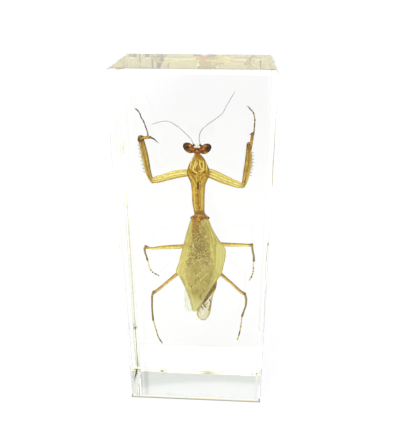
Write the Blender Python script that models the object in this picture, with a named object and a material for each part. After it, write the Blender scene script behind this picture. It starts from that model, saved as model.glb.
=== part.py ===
"""A praying mantis cast in a block of clear resin.

Metres, +Z up. The origin is the middle of the block's underside, and the
mantis hangs head up with its back towards -Y. Places and thicknesses on the
insect are written in millimetres, and mm() and MM turn them into metres.
The clear block is parted upright through its middle, so that the insect lies
in a pocket between a front and a back half.
"""

from math import cos, pi, radians, sin

import bmesh
import bpy
from mathutils import Matrix, Vector

MM = 0.001

# The cast block
BLOCK_WIDTH = 44.5 * MM
BLOCK_DEPTH = 27 * MM
BLOCK_HEIGHT = 110.5 * MM
EDGE_RADIUS = 1.5 * MM
EDGE_STEPS = 3
PARTING_GAP = 0.3 * MM
POCKET_CLEARANCE = 0.3 * MM

# How finely the round shapes are faceted
BODY_SIDES = 12
TRUNK_SIDES = 10
FORELEG_SIDES = 8
LEG_SIDES = 6
FOOT_SIDES = 5
FEELER_SIDES = 4
SPINE_SIDES = 3
POCKET_SIDES = {8: 6, 6: 5, 5: 4}
EYE_SEGMENTS = 12
EYE_RINGS = 7
COVER_STEPS = 5
SMOOTH_ANGLE = radians(40)
# How far a limb's end bulges, as a share of its half-width there
ROUND_END = 0.5
POINTED_END = 0.2

# Head: the wedge from its crown, facing the viewer, back to the mouth.
# Each station of a body part or limb is a middle point, half-width, half-depth.
HEAD = (
    ((0.92, -3.3, 87.20), 0.95, 0.50),
    ((0.92, -2.9, 87.35), 1.70, 1.05),
    ((0.90, -2.0, 87.55), 2.35, 1.40),
    ((0.90, -0.8, 87.70), 2.30, 1.35),
    ((0.92, 0.7, 87.75), 1.60, 1.15),
    ((0.95, 1.9, 87.65), 0.90, 0.85),
    ((0.95, 2.7, 87.50), 0.50, 0.55),
)
NECK = (
    ((0.90, -1.4, 86.9), 0.95, 0.80),
    ((0.87, -1.1, 85.9), 0.82, 0.75),
    ((0.92, -0.9, 85.0), 0.95, 0.80),
)
# Each eye: its middle, its tilt, and its half-axes across, fore-and-aft, along
EYE_HALF_AXES = (1.95, 1.70, 1.38)
LEFT_EYE = ((-1.48, -1.70, 87.80), 38)
RIGHT_EYE = ((3.24, -1.70, 87.60), -36)

FEELER_BASE = 0.17
FEELER_TIP = 0.12
LEFT_FEELER = (
    (0.1, -2.3, 88.3), (-0.5, -2.4, 90.1), (-2.4, -2.4, 92.1), (-4.8, -2.2, 94.1),
    (-6.3, -2.0, 95.0), (-7.6, -1.9, 95.3), (-9.2, -1.8, 95.1), (-11.6, -1.6, 94.3),
)
RIGHT_FEELER = (
    (1.7, -2.3, 88.3), (1.6, -2.5, 90.4), (2.0, -2.3, 92.3), (2.6, -2.2, 93.5),
    (3.9, -2.0, 94.6), (6.8, -1.8, 96.7), (8.0, -1.6, 97.8), (8.7, -1.5, 99.2),
    (11.2, -1.2, 103.5),
)

# Pronotum: a shield over the fore coxae, then a narrow waist
PRONOTUM = (
    ((0.87, -0.75, 85.5), 0.90, 0.70),
    ((1.03, -0.75, 84.3), 1.70, 1.05),
    ((1.08, -0.75, 82.3), 2.65, 1.35),
    ((1.10, -0.75, 80.9), 3.05, 1.45),
    ((1.08, -0.75, 79.7), 3.12, 1.50),
    ((1.08, -0.75, 78.3), 2.68, 1.40),
    ((1.05, -0.75, 76.9), 2.15, 1.30),
    ((1.05, -0.70, 74.4), 1.86, 1.20),
    ((1.08, -0.65, 70.2), 1.73, 1.10),
    ((1.25, -0.60, 68.2), 1.55, 1.10),
    ((1.42, -0.50, 66.5), 1.50, 1.10),
)
KEEL = (
    ((1.05, -1.96, 77.8), 0.14, 0.10),
    ((1.05, -1.95, 76.6), 0.20, 0.14),
    ((1.05, -1.88, 73.0), 0.20, 0.12),
    ((1.12, -1.72, 69.0), 0.18, 0.12),
)
# The knobs that the wings are hinged on, one on each side
LEFT_WING_KNOB = (
    ((0.3, -0.85, 66.0), 0.55, 0.50),
    ((-0.6, -0.80, 65.9), 0.60, 0.55),
    ((-1.2, -0.70, 65.6), 0.42, 0.40),
)
RIGHT_WING_KNOB = (
    ((2.7, -0.85, 66.1), 0.55, 0.50),
    ((3.6, -0.80, 66.0), 0.60, 0.55),
    ((4.2, -0.70, 65.7), 0.42, 0.40),
)
TRUNK = (
    ((1.40, -0.30, 67.4), 1.30, 1.00),
    ((1.50, 0.00, 65.9), 2.25, 1.60),
    ((1.50, 0.10, 62.5), 2.60, 2.30),
    ((1.50, 0.10, 57.5), 2.80, 2.70),
    ((1.45, 0.05, 54.2), 3.50, 2.80),
    ((1.40, 0.00, 50.8), 4.75, 2.85),
    ((1.25, 0.00, 47.8), 5.10, 2.85),
    ((1.10, 0.00, 44.0), 4.30, 2.60),
    ((0.80, 0.00, 39.5), 2.90, 2.05),
    ((0.45, 0.00, 36.0), 1.50, 1.35),
)

# Wing covers, closed over the trunk: height, left edge, right edge, how far
# the crest and the edges stand towards the viewer
WING_MIDLINE = 1.35
WING_THICKNESS = 0.5
WING_OUTLINE = (
    (65.6, -1.1, 4.0, -1.6, -0.7),
    (61.5, -2.4, 5.6, -2.4, -0.6),
    (58.0, -3.3, 7.6, -2.7, -0.5),
    (55.2, -4.0, 9.3, -2.8, -0.3),
    (52.5, -4.7, 9.4, -2.9, -0.2),
    (49.5, -5.4, 8.9, -2.9, -0.1),
    (46.2, -6.3, 8.2, -2.8, 0.0),
    (44.6, -5.3, 7.3, -2.7, -0.1),
    (41.5, -3.9, 5.4, -2.4, -0.2),
    (38.0, -2.6, 3.5, -1.9, -0.3),
    (34.5, -1.7, 1.8, -1.4, -0.4),
    (31.9, -1.2, 0.2, -1.1, -0.6),
)
# The right cover lies on the left one: how far each reaches past the middle
OVERLAP_LIFT = 0.3
LEFT_INNER_REACH = 0.35
RIGHT_INNER_REACH = 0.42

# Hind wings, folded below the covers: height, left edge, right edge
RIGHT_HIND_FRONT = -0.1
LEFT_HIND_FRONT = 0.1
HIND_WING_CROWN = 0.15
HIND_WING_THICKNESS = 0.6
RIGHT_HIND_WING = (
    (45.0, 3.0, 6.9), (43.0, 2.6, 6.8), (40.2, 2.0, 6.4), (38.0, 1.5, 5.5),
    (33.8, 1.1, 5.05), (31.5, 0.4, 4.85), (30.2, 0.1, 4.5), (29.0, 0.5, 3.9),
    (28.2, 1.3, 3.1), (27.7, 1.9, 2.5),
)
LEFT_HIND_WING = (
    (41.5, -3.4, 1.2), (38.0, -3.8, 1.4), (34.5, -3.8, 1.5), (32.2, -3.6, 0.9),
    (31.5, -2.8, 0.4),
)
# How far back the pocket of each wing is filled, all a little different so
# that no two of its faces lie in one plane
POCKET_BACKS = {
    "right_cover": 0.8,
    "left_cover": 0.9,
    "right_hind_wing": 1.0,
    "left_hind_wing": 1.1,
}

# Forelegs: coxa, femur, shin, the shin's end claw, then the foot
LEFT_FORELEG = {
    "coxa": (
        ((-0.6, 0.5, 79.8), 1.00, 0.90), ((-3.0, 0.9, 79.5), 1.10, 1.00),
        ((-5.8, 1.4, 78.9), 1.20, 1.05), ((-9.0, 2.1, 77.75), 1.10, 1.00),
        ((-11.8, 2.7, 76.8), 1.00, 0.90), ((-12.8, 2.8, 76.5), 0.75, 0.75),
    ),
    "femur": (
        ((-12.7, 2.8, 76.1), 0.55, 0.55), ((-13.3, 2.8, 77.3), 0.70, 0.72),
        ((-13.9, 2.6, 79.5), 0.84, 0.90), ((-14.3, 2.5, 82.2), 0.97, 1.05),
        ((-14.7, 2.3, 85.0), 1.00, 1.05), ((-15.1, 2.1, 87.6), 0.88, 0.85),
        ((-15.4, 2.0, 89.3), 0.68, 0.65),
    ),
    "shin": (
        ((-15.8, 2.0, 89.85), 0.60, 0.60), ((-14.6, 1.9, 89.75), 0.50, 0.50),
        ((-13.6, 1.7, 89.90), 0.45, 0.45), ((-12.6, 1.6, 90.00), 0.38, 0.38),
    ),
    "claw": ((-12.8, 1.6, 90.0), (-11.6, 1.5, 89.5), (-10.8, 1.4, 88.8), (-10.3, 1.3, 88.3)),
    "foot": (
        (-13.3, 1.65, 89.9), (-13.35, 1.6, 91.2), (-13.8, 1.3, 93.0), (-14.4, 1.1, 94.9),
        (-14.9, 0.9, 95.8), (-15.1, 0.7, 96.7), (-15.5, 0.6, 97.5), (-16.0, 0.4, 98.1),
        (-16.6, 0.2, 98.4),
    ),
    "spines": ((-14.8, 2.9, 79.6), (-16.0, 2.5, 87.2), (-1.0, 0.35, 0.2)),
}
RIGHT_FORELEG = {
    "coxa": (
        ((1.8, 0.5, 80.1), 1.20, 1.00), ((4.3, 1.0, 79.6), 1.40, 1.10),
        ((6.1, 1.4, 78.8), 1.42, 1.15), ((8.4, 2.0, 77.6), 1.34, 1.10),
        ((10.8, 2.7, 76.5), 1.14, 1.00), ((12.7, 3.2, 75.7), 0.98, 0.90),
        ((13.9, 3.5, 75.3), 0.75, 0.75),
    ),
    "femur": (
        ((14.1, 3.5, 75.0), 0.55, 0.55), ((14.6, 3.4, 76.5), 0.78, 0.75),
        ((15.1, 3.2, 79.6), 0.97, 0.98), ((15.5, 2.9, 82.6), 1.02, 1.05),
        ((15.5, 2.5, 85.5), 0.84, 0.88), ((15.4, 2.2, 88.3), 0.58, 0.65),
    ),
    "shin": (
        ((15.8, 2.1, 86.9), 0.50, 0.50), ((16.0, 2.0, 88.0), 0.48, 0.48),
        ((16.2, 1.9, 89.2), 0.43, 0.43), ((16.35, 1.7, 90.8), 0.46, 0.45),
        ((16.5, 1.6, 91.6), 0.42, 0.40),
    ),
    "claw": ((16.7, 1.5, 91.7), (16.1, 1.5, 91.55), (15.5, 1.5, 91.1)),
    "foot": (
        (16.6, 1.55, 91.2), (16.75, 1.45, 92.4), (16.8, 1.3, 93.9), (16.85, 1.15, 95.4),
        (16.65, 0.9, 96.6), (16.2, 0.7, 97.8), (15.5, 0.5, 98.5), (15.0, 0.4, 99.1),
        (14.5, 0.2, 99.5),
    ),
    "spines": ((16.0, 3.3, 78.6), (16.3, 2.6, 85.6), (1.0, 0.35, 0.2)),
}
CLAW_BASE = 0.34
CLAW_TIP = 0.08
# Each spine stands out by its length and is rooted some way inside the femur
SPINE_COUNT = 6
SPINE_LENGTH = 0.75
SPINE_ROOT = 0.45
SPINE_BASE = 0.26
SPINE_POINT = 0.03
SPINE_POCKET_RADIUS = 0.16

# Walking legs: coxa, femur, shin and foot
LEFT_MID_LEG = {
    "coxa": (
        ((0.4, 1.4, 61.2), 1.00, 0.90), ((-1.0, 1.9, 58.4), 0.95, 0.85),
        ((-2.2, 2.2, 55.8), 0.65, 0.65),
    ),
    "femur": (
        ((-2.0, 2.1, 55.2), 0.50, 0.55), ((-4.3, 2.1, 54.85), 0.57, 0.62),
        ((-7.6, 2.2, 54.55), 0.72, 0.70), ((-11.1, 2.4, 54.2), 0.54, 0.56),
        ((-14.8, 2.5, 53.9), 0.42, 0.45), ((-15.9, 2.5, 54.3), 0.50, 0.50),
    ),
    "shin": (
        ((-15.8, 2.5, 54.6), 0.42, 0.42), ((-16.25, 2.4, 53.5), 0.36, 0.36),
        ((-16.15, 2.3, 52.4), 0.32, 0.32), ((-15.8, 2.2, 51.0), 0.32, 0.32),
        ((-15.5, 2.1, 49.7), 0.34, 0.34),
    ),
    "foot": (
        (-15.5, 2.1, 49.9), (-15.2, 2.0, 48.2), (-14.9, 1.9, 46.7), (-14.3, 1.8, 45.8),
        (-13.8, 1.7, 45.2), (-13.1, 1.6, 44.8), (-12.5, 1.5, 44.5), (-11.9, 1.4, 44.2),
    ),
}
RIGHT_MID_LEG = {
    "coxa": (
        ((2.4, 1.4, 61.2), 1.00, 0.90), ((3.6, 1.9, 58.8), 0.95, 0.85),
        ((4.8, 2.2, 56.6), 0.65, 0.65),
    ),
    "femur": (
        ((4.5, 2.1, 56.1), 0.50, 0.55), ((8.4, 2.1, 56.0), 0.55, 0.60),
        ((11.2, 2.2, 55.9), 0.60, 0.62), ((14.1, 2.4, 55.85), 0.50, 0.52),
        ((16.6, 2.5, 55.9), 0.42, 0.45), ((17.5, 2.5, 55.9), 0.48, 0.48),
    ),
    "shin": (
        ((17.5, 2.5, 56.2), 0.42, 0.42), ((17.65, 2.4, 55.0), 0.36, 0.36),
        ((17.9, 2.3, 53.5), 0.34, 0.34), ((18.25, 2.2, 51.9), 0.34, 0.34),
        ((18.3, 2.1, 50.4), 0.34, 0.34),
    ),
    "foot": (
        (18.3, 2.1, 50.6), (18.2, 2.0, 48.9), (18.3, 1.9, 47.5), (18.2, 1.8, 46.6),
        (18.05, 1.7, 45.7), (17.75, 1.6, 44.8), (17.5, 1.5, 44.1), (17.1, 1.4, 43.5),
    ),
}
LEFT_HIND_LEG = {
    "coxa": (
        ((0.3, 1.4, 55.6), 1.00, 0.90), ((-0.9, 2.1, 52.6), 0.95, 0.85),
        ((-2.1, 2.4, 49.6), 0.65, 0.65),
    ),
    "femur": (
        ((-1.8, 2.3, 49.4), 0.50, 0.55), ((-4.2, 2.2, 46.8), 0.55, 0.60),
        ((-6.6, 2.1, 44.4), 0.56, 0.60), ((-9.6, 2.2, 41.5), 0.50, 0.55),
        ((-12.6, 2.4, 38.5), 0.52, 0.54), ((-14.2, 2.5, 37.2), 0.55, 0.52),
    ),
    "shin": (
        ((-14.0, 2.5, 37.8), 0.40, 0.40), ((-14.55, 2.4, 36.4), 0.36, 0.36),
        ((-14.75, 2.3, 34.0), 0.33, 0.33), ((-14.85, 2.2, 31.5), 0.32, 0.32),
        ((-14.8, 2.1, 29.0), 0.32, 0.32), ((-14.7, 2.0, 26.6), 0.33, 0.33),
    ),
    "foot": (
        (-14.7, 2.0, 26.8), (-14.2, 1.9, 24.2), (-13.7, 1.8, 22.0), (-13.4, 1.7, 20.6),
        (-13.0, 1.6, 19.4), (-12.6, 1.55, 18.6), (-12.2, 1.5, 17.9), (-11.9, 1.4, 17.3),
    ),
}
RIGHT_HIND_LEG = {
    "coxa": (
        ((2.6, 1.3, 55.6), 1.00, 0.90), ((3.7, 1.9, 52.2), 0.95, 0.85),
        ((4.7, 2.25, 48.6), 0.65, 0.65),
    ),
    "femur": (
        ((4.6, 2.3, 48.5), 0.50, 0.55), ((6.4, 2.2, 46.7), 0.55, 0.60),
        ((8.3, 2.1, 44.9), 0.56, 0.60), ((11.6, 2.2, 41.8), 0.48, 0.54),
        ((14.7, 2.4, 38.6), 0.54, 0.54), ((15.9, 2.5, 37.8), 0.52, 0.50),
    ),
    "shin": (
        ((15.7, 2.5, 38.3), 0.40, 0.40), ((16.15, 2.4, 37.0), 0.38, 0.38),
        ((16.4, 2.3, 35.3), 0.36, 0.36), ((16.3, 2.2, 33.5), 0.34, 0.34),
        ((15.7, 2.1, 31.2), 0.32, 0.32), ((15.2, 2.0, 29.3), 0.32, 0.32),
    ),
    "foot": (
        (15.2, 2.0, 29.5), (15.05, 1.9, 27.0), (14.85, 1.8, 24.8), (14.65, 1.7, 23.3),
        (14.45, 1.65, 22.2), (14.25, 1.6, 21.2), (14.05, 1.5, 20.4), (13.8, 1.4, 19.8),
    ),
}
FOOT_BASE = 0.26
FOOT_TIP = 0.20


def clear_scene():
    for thing in list(bpy.data.objects):
        bpy.data.objects.remove(thing)


def mm(point):
    return Vector(point) * MM


def object_from(bm, name):
    """Turns a finished bmesh into an object whose faces point outwards."""
    bmesh.ops.recalc_face_normals(bm, faces=bm.faces)
    mesh = bpy.data.meshes.new(name)
    bm.to_mesh(mesh)
    bm.free()
    thing = bpy.data.objects.new(name, mesh)
    bpy.context.scene.collection.objects.link(thing)
    return thing


def loft(name, rings, tips=(None, None)):
    """Skins equal rings of points, and closes each end flat or down to a tip."""
    bm = bmesh.new()
    loops = [[bm.verts.new(point) for point in ring] for ring in rings]
    count = len(loops[0])
    for near, far in zip(loops, loops[1:]):
        for i in range(count):
            j = (i + 1) % count
            bm.faces.new((near[i], near[j], far[j], far[i]))
    for loop, tip in zip((loops[0], loops[-1]), tips):
        if tip is None:
            bm.faces.new(loop)
            continue
        point = bm.verts.new(tip)
        for i in range(count):
            bm.faces.new((loop[i], loop[(i + 1) % count], point))
    return object_from(bm, name)


def limb(name, stations, sides, grow=0.0, deep=(0, 1, 0), bulge=ROUND_END):
    """A rounded limb through its stations; grow thickens it all over, in mm."""
    if grow:
        sides = POCKET_SIDES.get(sides, sides)
    points = [Vector(station[0]) for station in stations]
    last = len(points) - 1
    rings = []
    for i, (_, half_width, half_depth) in enumerate(stations):
        along = (points[min(i + 1, last)] - points[max(i - 1, 0)]).normalized()
        across = along.cross(Vector(deep)).normalized()
        back = across.cross(along)
        ring = []
        for k in range(sides):
            angle = 2 * pi * k / sides
            offset = across * ((half_width + grow) * cos(angle))
            offset += back * ((half_depth + grow) * sin(angle))
            ring.append(mm(points[i] + offset))
        rings.append(ring)
    start = (points[0] - points[1]).normalized() * (stations[0][1] * bulge + grow)
    end = (points[-1] - points[-2]).normalized() * (stations[-1][1] * bulge + grow)
    return loft(name, rings, (mm(points[0] + start), mm(points[-1] + end)))


def taper(points, base, point_radius):
    """Round stations along the points, thinning evenly from base to point."""
    steps = len(points) - 1
    radii = [base + (point_radius - base) * i / steps for i in range(steps + 1)]
    return [(point, radius, radius) for point, radius in zip(points, radii)]


def head_parts(grow):
    shapes = [
        limb("head", HEAD, TRUNK_SIDES, grow, deep=(0, 0, 1)),
        limb("neck", NECK, FORELEG_SIDES, grow),
    ]
    for name, (middle, tilt) in (("left_eye", LEFT_EYE), ("right_eye", RIGHT_EYE)):
        bm = bmesh.new()
        axes = [half + grow for half in EYE_HALF_AXES]
        place = (
            Matrix.Translation(mm(middle))
            @ Matrix.Rotation(radians(tilt), 4, "Y")
            @ Matrix.Diagonal((*mm(axes), 1))
        )
        bmesh.ops.create_uvsphere(
            bm, u_segments=EYE_SEGMENTS, v_segments=EYE_RINGS, radius=1, matrix=place
        )
        shapes.append(object_from(bm, name))
    for name, route in (("left_feeler", LEFT_FEELER), ("right_feeler", RIGHT_FEELER)):
        stations = taper(route, FEELER_BASE, FEELER_TIP)
        shapes.append(limb(name, stations, FEELER_SIDES, grow))
    return shapes


def trunk_parts(grow):
    shapes = [
        limb("trunk", TRUNK, TRUNK_SIDES, grow),
        limb("pronotum", PRONOTUM, BODY_SIDES, grow),
        limb("left_wing_knob", LEFT_WING_KNOB, LEG_SIDES, grow),
        limb("right_wing_knob", RIGHT_WING_KNOB, LEG_SIDES, grow),
    ]
    if not grow:
        shapes.append(limb("keel", KEEL, FOOT_SIDES))
    return shapes


def sheet(name, rows, thickness, grow):
    """A thin plate from rows of points; its pocket is filled back to one plane."""
    pocket_back = POCKET_BACKS[name]
    rings = []
    for i, row in enumerate(rows):
        rise = {0: grow, len(rows) - 1: -grow}.get(i, 0)
        front = []
        back = []
        for k, (x, y, z) in enumerate(row):
            widen = {0: -grow, len(row) - 1: grow}.get(k, 0)
            behind = pocket_back if grow else y + thickness
            front.append(mm((x + widen, y - grow, z + rise)))
            back.append(mm((x + widen, behind, z + rise)))
        rings.append(front + back[::-1])
    return loft(name, rings)


def cover_rows(inner_reach, side, lift):
    """Rows of one wing cover, from past the middle of the back to its edge."""
    rows = []
    for height, left, right, crest, edge in WING_OUTLINE:
        reaches = {-1: WING_MIDLINE - left, 1: right - WING_MIDLINE}
        row = []
        for k in range(COVER_STEPS + 1):
            share = -inner_reach + (1 + inner_reach) * k / COVER_STEPS
            reach = reaches[side if share > 0 else -side]
            x = WING_MIDLINE + side * share * reach
            row.append((x, crest + (edge - crest) * share * share - lift, height))
        rows.append(sorted(row))
    return rows


def hind_wing_rows(outline, front):
    rows = []
    for height, left, right in outline:
        middle = (left + right) / 2
        crest = front - HIND_WING_CROWN
        rows.append(((left, front, height), (middle, crest, height), (right, front, height)))
    return rows


def wing_parts(grow):
    right_cover = cover_rows(RIGHT_INNER_REACH, 1, OVERLAP_LIFT)
    left_cover = cover_rows(LEFT_INNER_REACH, -1, 0)
    right_hind = hind_wing_rows(RIGHT_HIND_WING, RIGHT_HIND_FRONT)
    left_hind = hind_wing_rows(LEFT_HIND_WING, LEFT_HIND_FRONT)
    return [
        sheet("right_cover", right_cover, WING_THICKNESS, grow),
        sheet("left_cover", left_cover, WING_THICKNESS, grow),
        sheet("right_hind_wing", right_hind, HIND_WING_THICKNESS, grow),
        sheet("left_hind_wing", left_hind, HIND_WING_THICKNESS, grow),
    ]


def leg_parts(name, leg, grow):
    """One leg; its pocket is plainer, with the spines under one ridge."""
    sides = FORELEG_SIDES if "claw" in leg else LEG_SIDES
    foot = taper(leg["foot"], FOOT_BASE, FOOT_TIP)
    shapes = [
        limb(name + "_coxa", leg["coxa"], sides, grow),
        limb(name + "_femur", leg["femur"], sides, grow),
        limb(name + "_shin", leg["shin"], LEG_SIDES, grow),
        limb(name + "_foot", foot, FOOT_SIDES, grow),
    ]
    if "claw" in leg:
        claw = taper(leg["claw"], CLAW_BASE, CLAW_TIP)
        shapes.append(limb(name + "_claw", claw, FOOT_SIDES, grow))
    if "spines" in leg:
        shapes += spine_parts(name, leg["spines"], grow)
    return shapes


def spine_parts(name, row, grow):
    """A row of spines along the femur's outer edge."""
    first, last, lean = (Vector(value) for value in row)
    lean.normalize()
    if grow:
        reach = SPINE_LENGTH / 2
        ends = [(end + lean * reach, reach, SPINE_POCKET_RADIUS) for end in (first, last)]
        return [limb(name + "_spines", ends, LEG_SIDES, grow)]
    shapes = []
    for k in range(SPINE_COUNT):
        edge = first.lerp(last, k / (SPINE_COUNT - 1))
        route = (edge - lean * SPINE_ROOT, edge + lean * SPINE_LENGTH)
        stations = taper(route, SPINE_BASE, SPINE_POINT)
        shapes.append(limb(f"{name}_spine_{k}", stations, SPINE_SIDES, bulge=POINTED_END))
    return shapes


def insect_parts(grow=0.0):
    """Every shape of the insect; with grow they are the pocket it lies in."""
    shapes = trunk_parts(grow) + head_parts(grow) + wing_parts(grow)
    legs = (
        ("left_foreleg", LEFT_FORELEG), ("right_foreleg", RIGHT_FORELEG),
        ("left_mid_leg", LEFT_MID_LEG), ("right_mid_leg", RIGHT_MID_LEG),
        ("left_hind_leg", LEFT_HIND_LEG), ("right_hind_leg", RIGHT_HIND_LEG),
    )
    for name, leg in legs:
        shapes += leg_parts(name, leg, grow)
    return shapes


def combine(name, base, shapes, operation):
    """Joins the shapes to the base or cuts them from it, all at once."""
    group = bpy.data.collections.new(name)
    bpy.context.scene.collection.children.link(group)
    for shape in shapes:
        group.objects.link(shape)
    step = base.modifiers.new(operation.title(), "BOOLEAN")
    step.operation = operation
    step.operand_type = "COLLECTION"
    step.collection = group
    step.solver = "EXACT"
    graph = bpy.context.evaluated_depsgraph_get()
    mesh = bpy.data.meshes.new_from_object(base.evaluated_get(graph))
    for used in (base, *shapes):
        bpy.data.objects.remove(used)
    bpy.data.collections.remove(group)
    mesh.name = name
    body = bpy.data.objects.new(name, mesh)
    bpy.context.scene.collection.objects.link(body)
    return body


def resin_half(name, side):
    """One half of the rounded block, side -1 the front and +1 the back."""
    bm = bmesh.new()
    bmesh.ops.create_cube(bm, size=1)
    bmesh.ops.scale(bm, vec=(BLOCK_WIDTH, BLOCK_DEPTH, BLOCK_HEIGHT), verts=bm.verts)
    bmesh.ops.translate(bm, vec=(0, 0, BLOCK_HEIGHT / 2), verts=bm.verts)
    bmesh.ops.bevel(
        bm, geom=bm.edges[:], offset=EDGE_RADIUS, segments=EDGE_STEPS, profile=0.5,
        affect="EDGES", clamp_overlap=True,
    )
    bmesh.ops.bisect_plane(
        bm, geom=bm.verts[:] + bm.edges[:] + bm.faces[:],
        plane_co=(0, side * PARTING_GAP / 2, 0), plane_no=(0, -side, 0), clear_outer=True,
    )
    bmesh.ops.edgeloop_fill(bm, edges=[edge for edge in bm.edges if edge.is_boundary])
    block = object_from(bm, "block_" + name)
    pocket = insect_parts(POCKET_CLEARANCE / MM)
    return combine(name, block, pocket, "DIFFERENCE")


def finish_surface(thing, material):
    thing.data.shade_smooth()
    thing.data.set_sharp_from_angle(angle=SMOOTH_ANGLE)
    thing.data.materials.clear()
    thing.data.materials.append(material)


def insect_material():
    material = bpy.data.materials.new("dried_insect")
    material.use_nodes = True
    shader = material.node_tree.nodes["Principled BSDF"]
    shader.inputs["Base Color"].default_value = (0.45, 0.33, 0.07, 1)
    shader.inputs["Roughness"].default_value = 0.45
    shader.inputs["Metallic"].default_value = 0.0
    return material


def resin_material():
    material = bpy.data.materials.new("clear_resin")
    material.use_nodes = True
    shader = material.node_tree.nodes["Principled BSDF"]
    shader.inputs["Base Color"].default_value = (1.0, 1.0, 0.97, 1)
    shader.inputs["Roughness"].default_value = 0.02
    shader.inputs["Metallic"].default_value = 0.0
    shader.inputs["Transmission Weight"].default_value = 1.0
    shader.inputs["IOR"].default_value = 1.55
    return material


def main():
    clear_scene()
    shapes = insect_parts()
    mantis = combine("mantis", shapes[0], shapes[1:], "UNION")
    finish_surface(mantis, insect_material())
    for name, side in (("resin_front_half", -1), ("resin_back_half", 1)):
        finish_surface(resin_half(name, side), resin_material())


main()
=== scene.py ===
from math import radians

import bmesh
import bpy
import numpy as np
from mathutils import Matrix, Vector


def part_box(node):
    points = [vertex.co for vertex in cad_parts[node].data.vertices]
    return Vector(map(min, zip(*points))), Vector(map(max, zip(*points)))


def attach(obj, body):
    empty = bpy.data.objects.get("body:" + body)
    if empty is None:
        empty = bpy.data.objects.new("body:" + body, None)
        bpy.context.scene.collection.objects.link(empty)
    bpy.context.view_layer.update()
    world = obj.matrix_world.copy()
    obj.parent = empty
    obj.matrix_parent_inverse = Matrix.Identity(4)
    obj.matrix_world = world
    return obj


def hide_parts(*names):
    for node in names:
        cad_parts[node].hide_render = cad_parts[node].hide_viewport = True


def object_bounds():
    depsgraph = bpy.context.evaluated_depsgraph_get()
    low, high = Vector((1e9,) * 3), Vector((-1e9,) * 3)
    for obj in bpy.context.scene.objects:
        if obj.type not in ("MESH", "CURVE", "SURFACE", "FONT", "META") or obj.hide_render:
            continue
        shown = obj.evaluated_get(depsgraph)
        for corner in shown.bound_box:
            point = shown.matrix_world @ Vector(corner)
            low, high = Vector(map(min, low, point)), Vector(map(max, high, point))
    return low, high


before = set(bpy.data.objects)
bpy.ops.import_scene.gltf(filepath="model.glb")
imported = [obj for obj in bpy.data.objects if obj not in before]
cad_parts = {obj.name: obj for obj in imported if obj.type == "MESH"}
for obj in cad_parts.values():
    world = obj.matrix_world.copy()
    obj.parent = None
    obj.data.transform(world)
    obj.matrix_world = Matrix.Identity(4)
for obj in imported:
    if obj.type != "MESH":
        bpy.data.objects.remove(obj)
cadBox = [list(corner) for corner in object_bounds()]

# A praying mantis cast in a block of clear resin. Places and sizes are in millimetres
# in the block's own frame: X to the right, Y away from the viewer, Z up from the floor.
millimetre = 0.001

cameraLook = {
    "place": (12, -146.3, 133.1),
    "lookDown": 26.24,  # degrees
    "turnLeft": 3.29,
    "lens": 41.63,
    "nearest": 5,
}


def placeThing(name, data):
    thing = bpy.data.objects.new(name, data)
    bpy.context.scene.collection.objects.link(thing)
    return thing


def makeCamera():
    lens = bpy.data.cameras.new("camera")
    lens.lens = cameraLook["lens"]
    lens.clip_start = cameraLook["nearest"] * millimetre
    camera = placeThing("camera", lens)
    camera.location = [value * millimetre for value in cameraLook["place"]]
    camera.rotation_euler = (
        radians(90 - cameraLook["lookDown"]), 0, radians(cameraLook["turnLeft"]),
    )
    bpy.context.scene.camera = camera


makeCamera()
print("camera set")


# Shader helpers. A mask is a function that adds nodes to a tree and gives a 0 to 1 socket.

def hexColour(code):
    shades = [int(code[i:i + 2], 16) / 255 for i in (0, 2, 4)]
    linear = [s / 12.92 if s <= 0.04045 else ((s + 0.055) / 1.055) ** 2.4 for s in shades]
    return (*linear, 1)


def setSocket(tree, socket, value):
    if isinstance(value, bpy.types.NodeSocket):
        tree.links.new(value, socket)
    else:
        socket.default_value = value


def addNode(tree, kind, inputs=None, **settings):
    made = tree.nodes.new(kind)
    for key, value in settings.items():
        setattr(made, key, value)
    for key, value in (inputs or {}).items():
        setSocket(tree, made.inputs[key], value)
    return made


def math(tree, operation, first, second=0.0):
    return addNode(tree, "ShaderNodeMath", {0: first, 1: second}, operation=operation).outputs[0]


def scaledPlace(tree, size, stretch=(1, 1, 1), turn=0.0):
    # object coordinates counted in steps of this many millimetres, turned in the viewer's plane
    place = addNode(tree, "ShaderNodeTexCoord").outputs["Object"]
    if turn:
        inputs = {"Vector": place, "Angle": radians(turn)}
        place = addNode(tree, "ShaderNodeVectorRotate", inputs, rotation_type="Y_AXIS").outputs[0]
    steps = [1 / (millimetre * size * part) for part in stretch]
    return addNode(tree, "ShaderNodeVectorMath", {0: place, 1: steps}, operation="MULTIPLY").outputs[0]


def attributeMask(name):
    return lambda tree: addNode(tree, "ShaderNodeAttribute", attribute_name=name).outputs["Fac"]


def patchMask(size, stretch=(1, 1, 1), detail=2.0, turn=0.0):
    def build(tree):
        inputs = {"Vector": scaledPlace(tree, size, stretch, turn), "Scale": 1.0, "Detail": detail}
        return addNode(tree, "ShaderNodeTexNoise", inputs).outputs[0]
    return build


def cellMask(size, feature="DISTANCE_TO_EDGE", stretch=(1, 1, 1), turn=0.0, loose=1.0, flat=False):
    # flat cells run straight through the piece, away from the viewer
    def build(tree):
        place = scaledPlace(tree, size, stretch, turn)
        if flat:
            axes = addNode(tree, "ShaderNodeSeparateXYZ", {0: place}).outputs
            place = addNode(tree, "ShaderNodeCombineXYZ", {"X": axes["X"], "Y": axes["Z"]}).outputs[0]
        return addNode(
            tree, "ShaderNodeTexVoronoi", {"Vector": place, "Scale": 1.0, "Randomness": loose},
            feature=feature, voronoi_dimensions="2D" if flat else "3D",
        ).outputs["Distance"]
    return build


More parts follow.
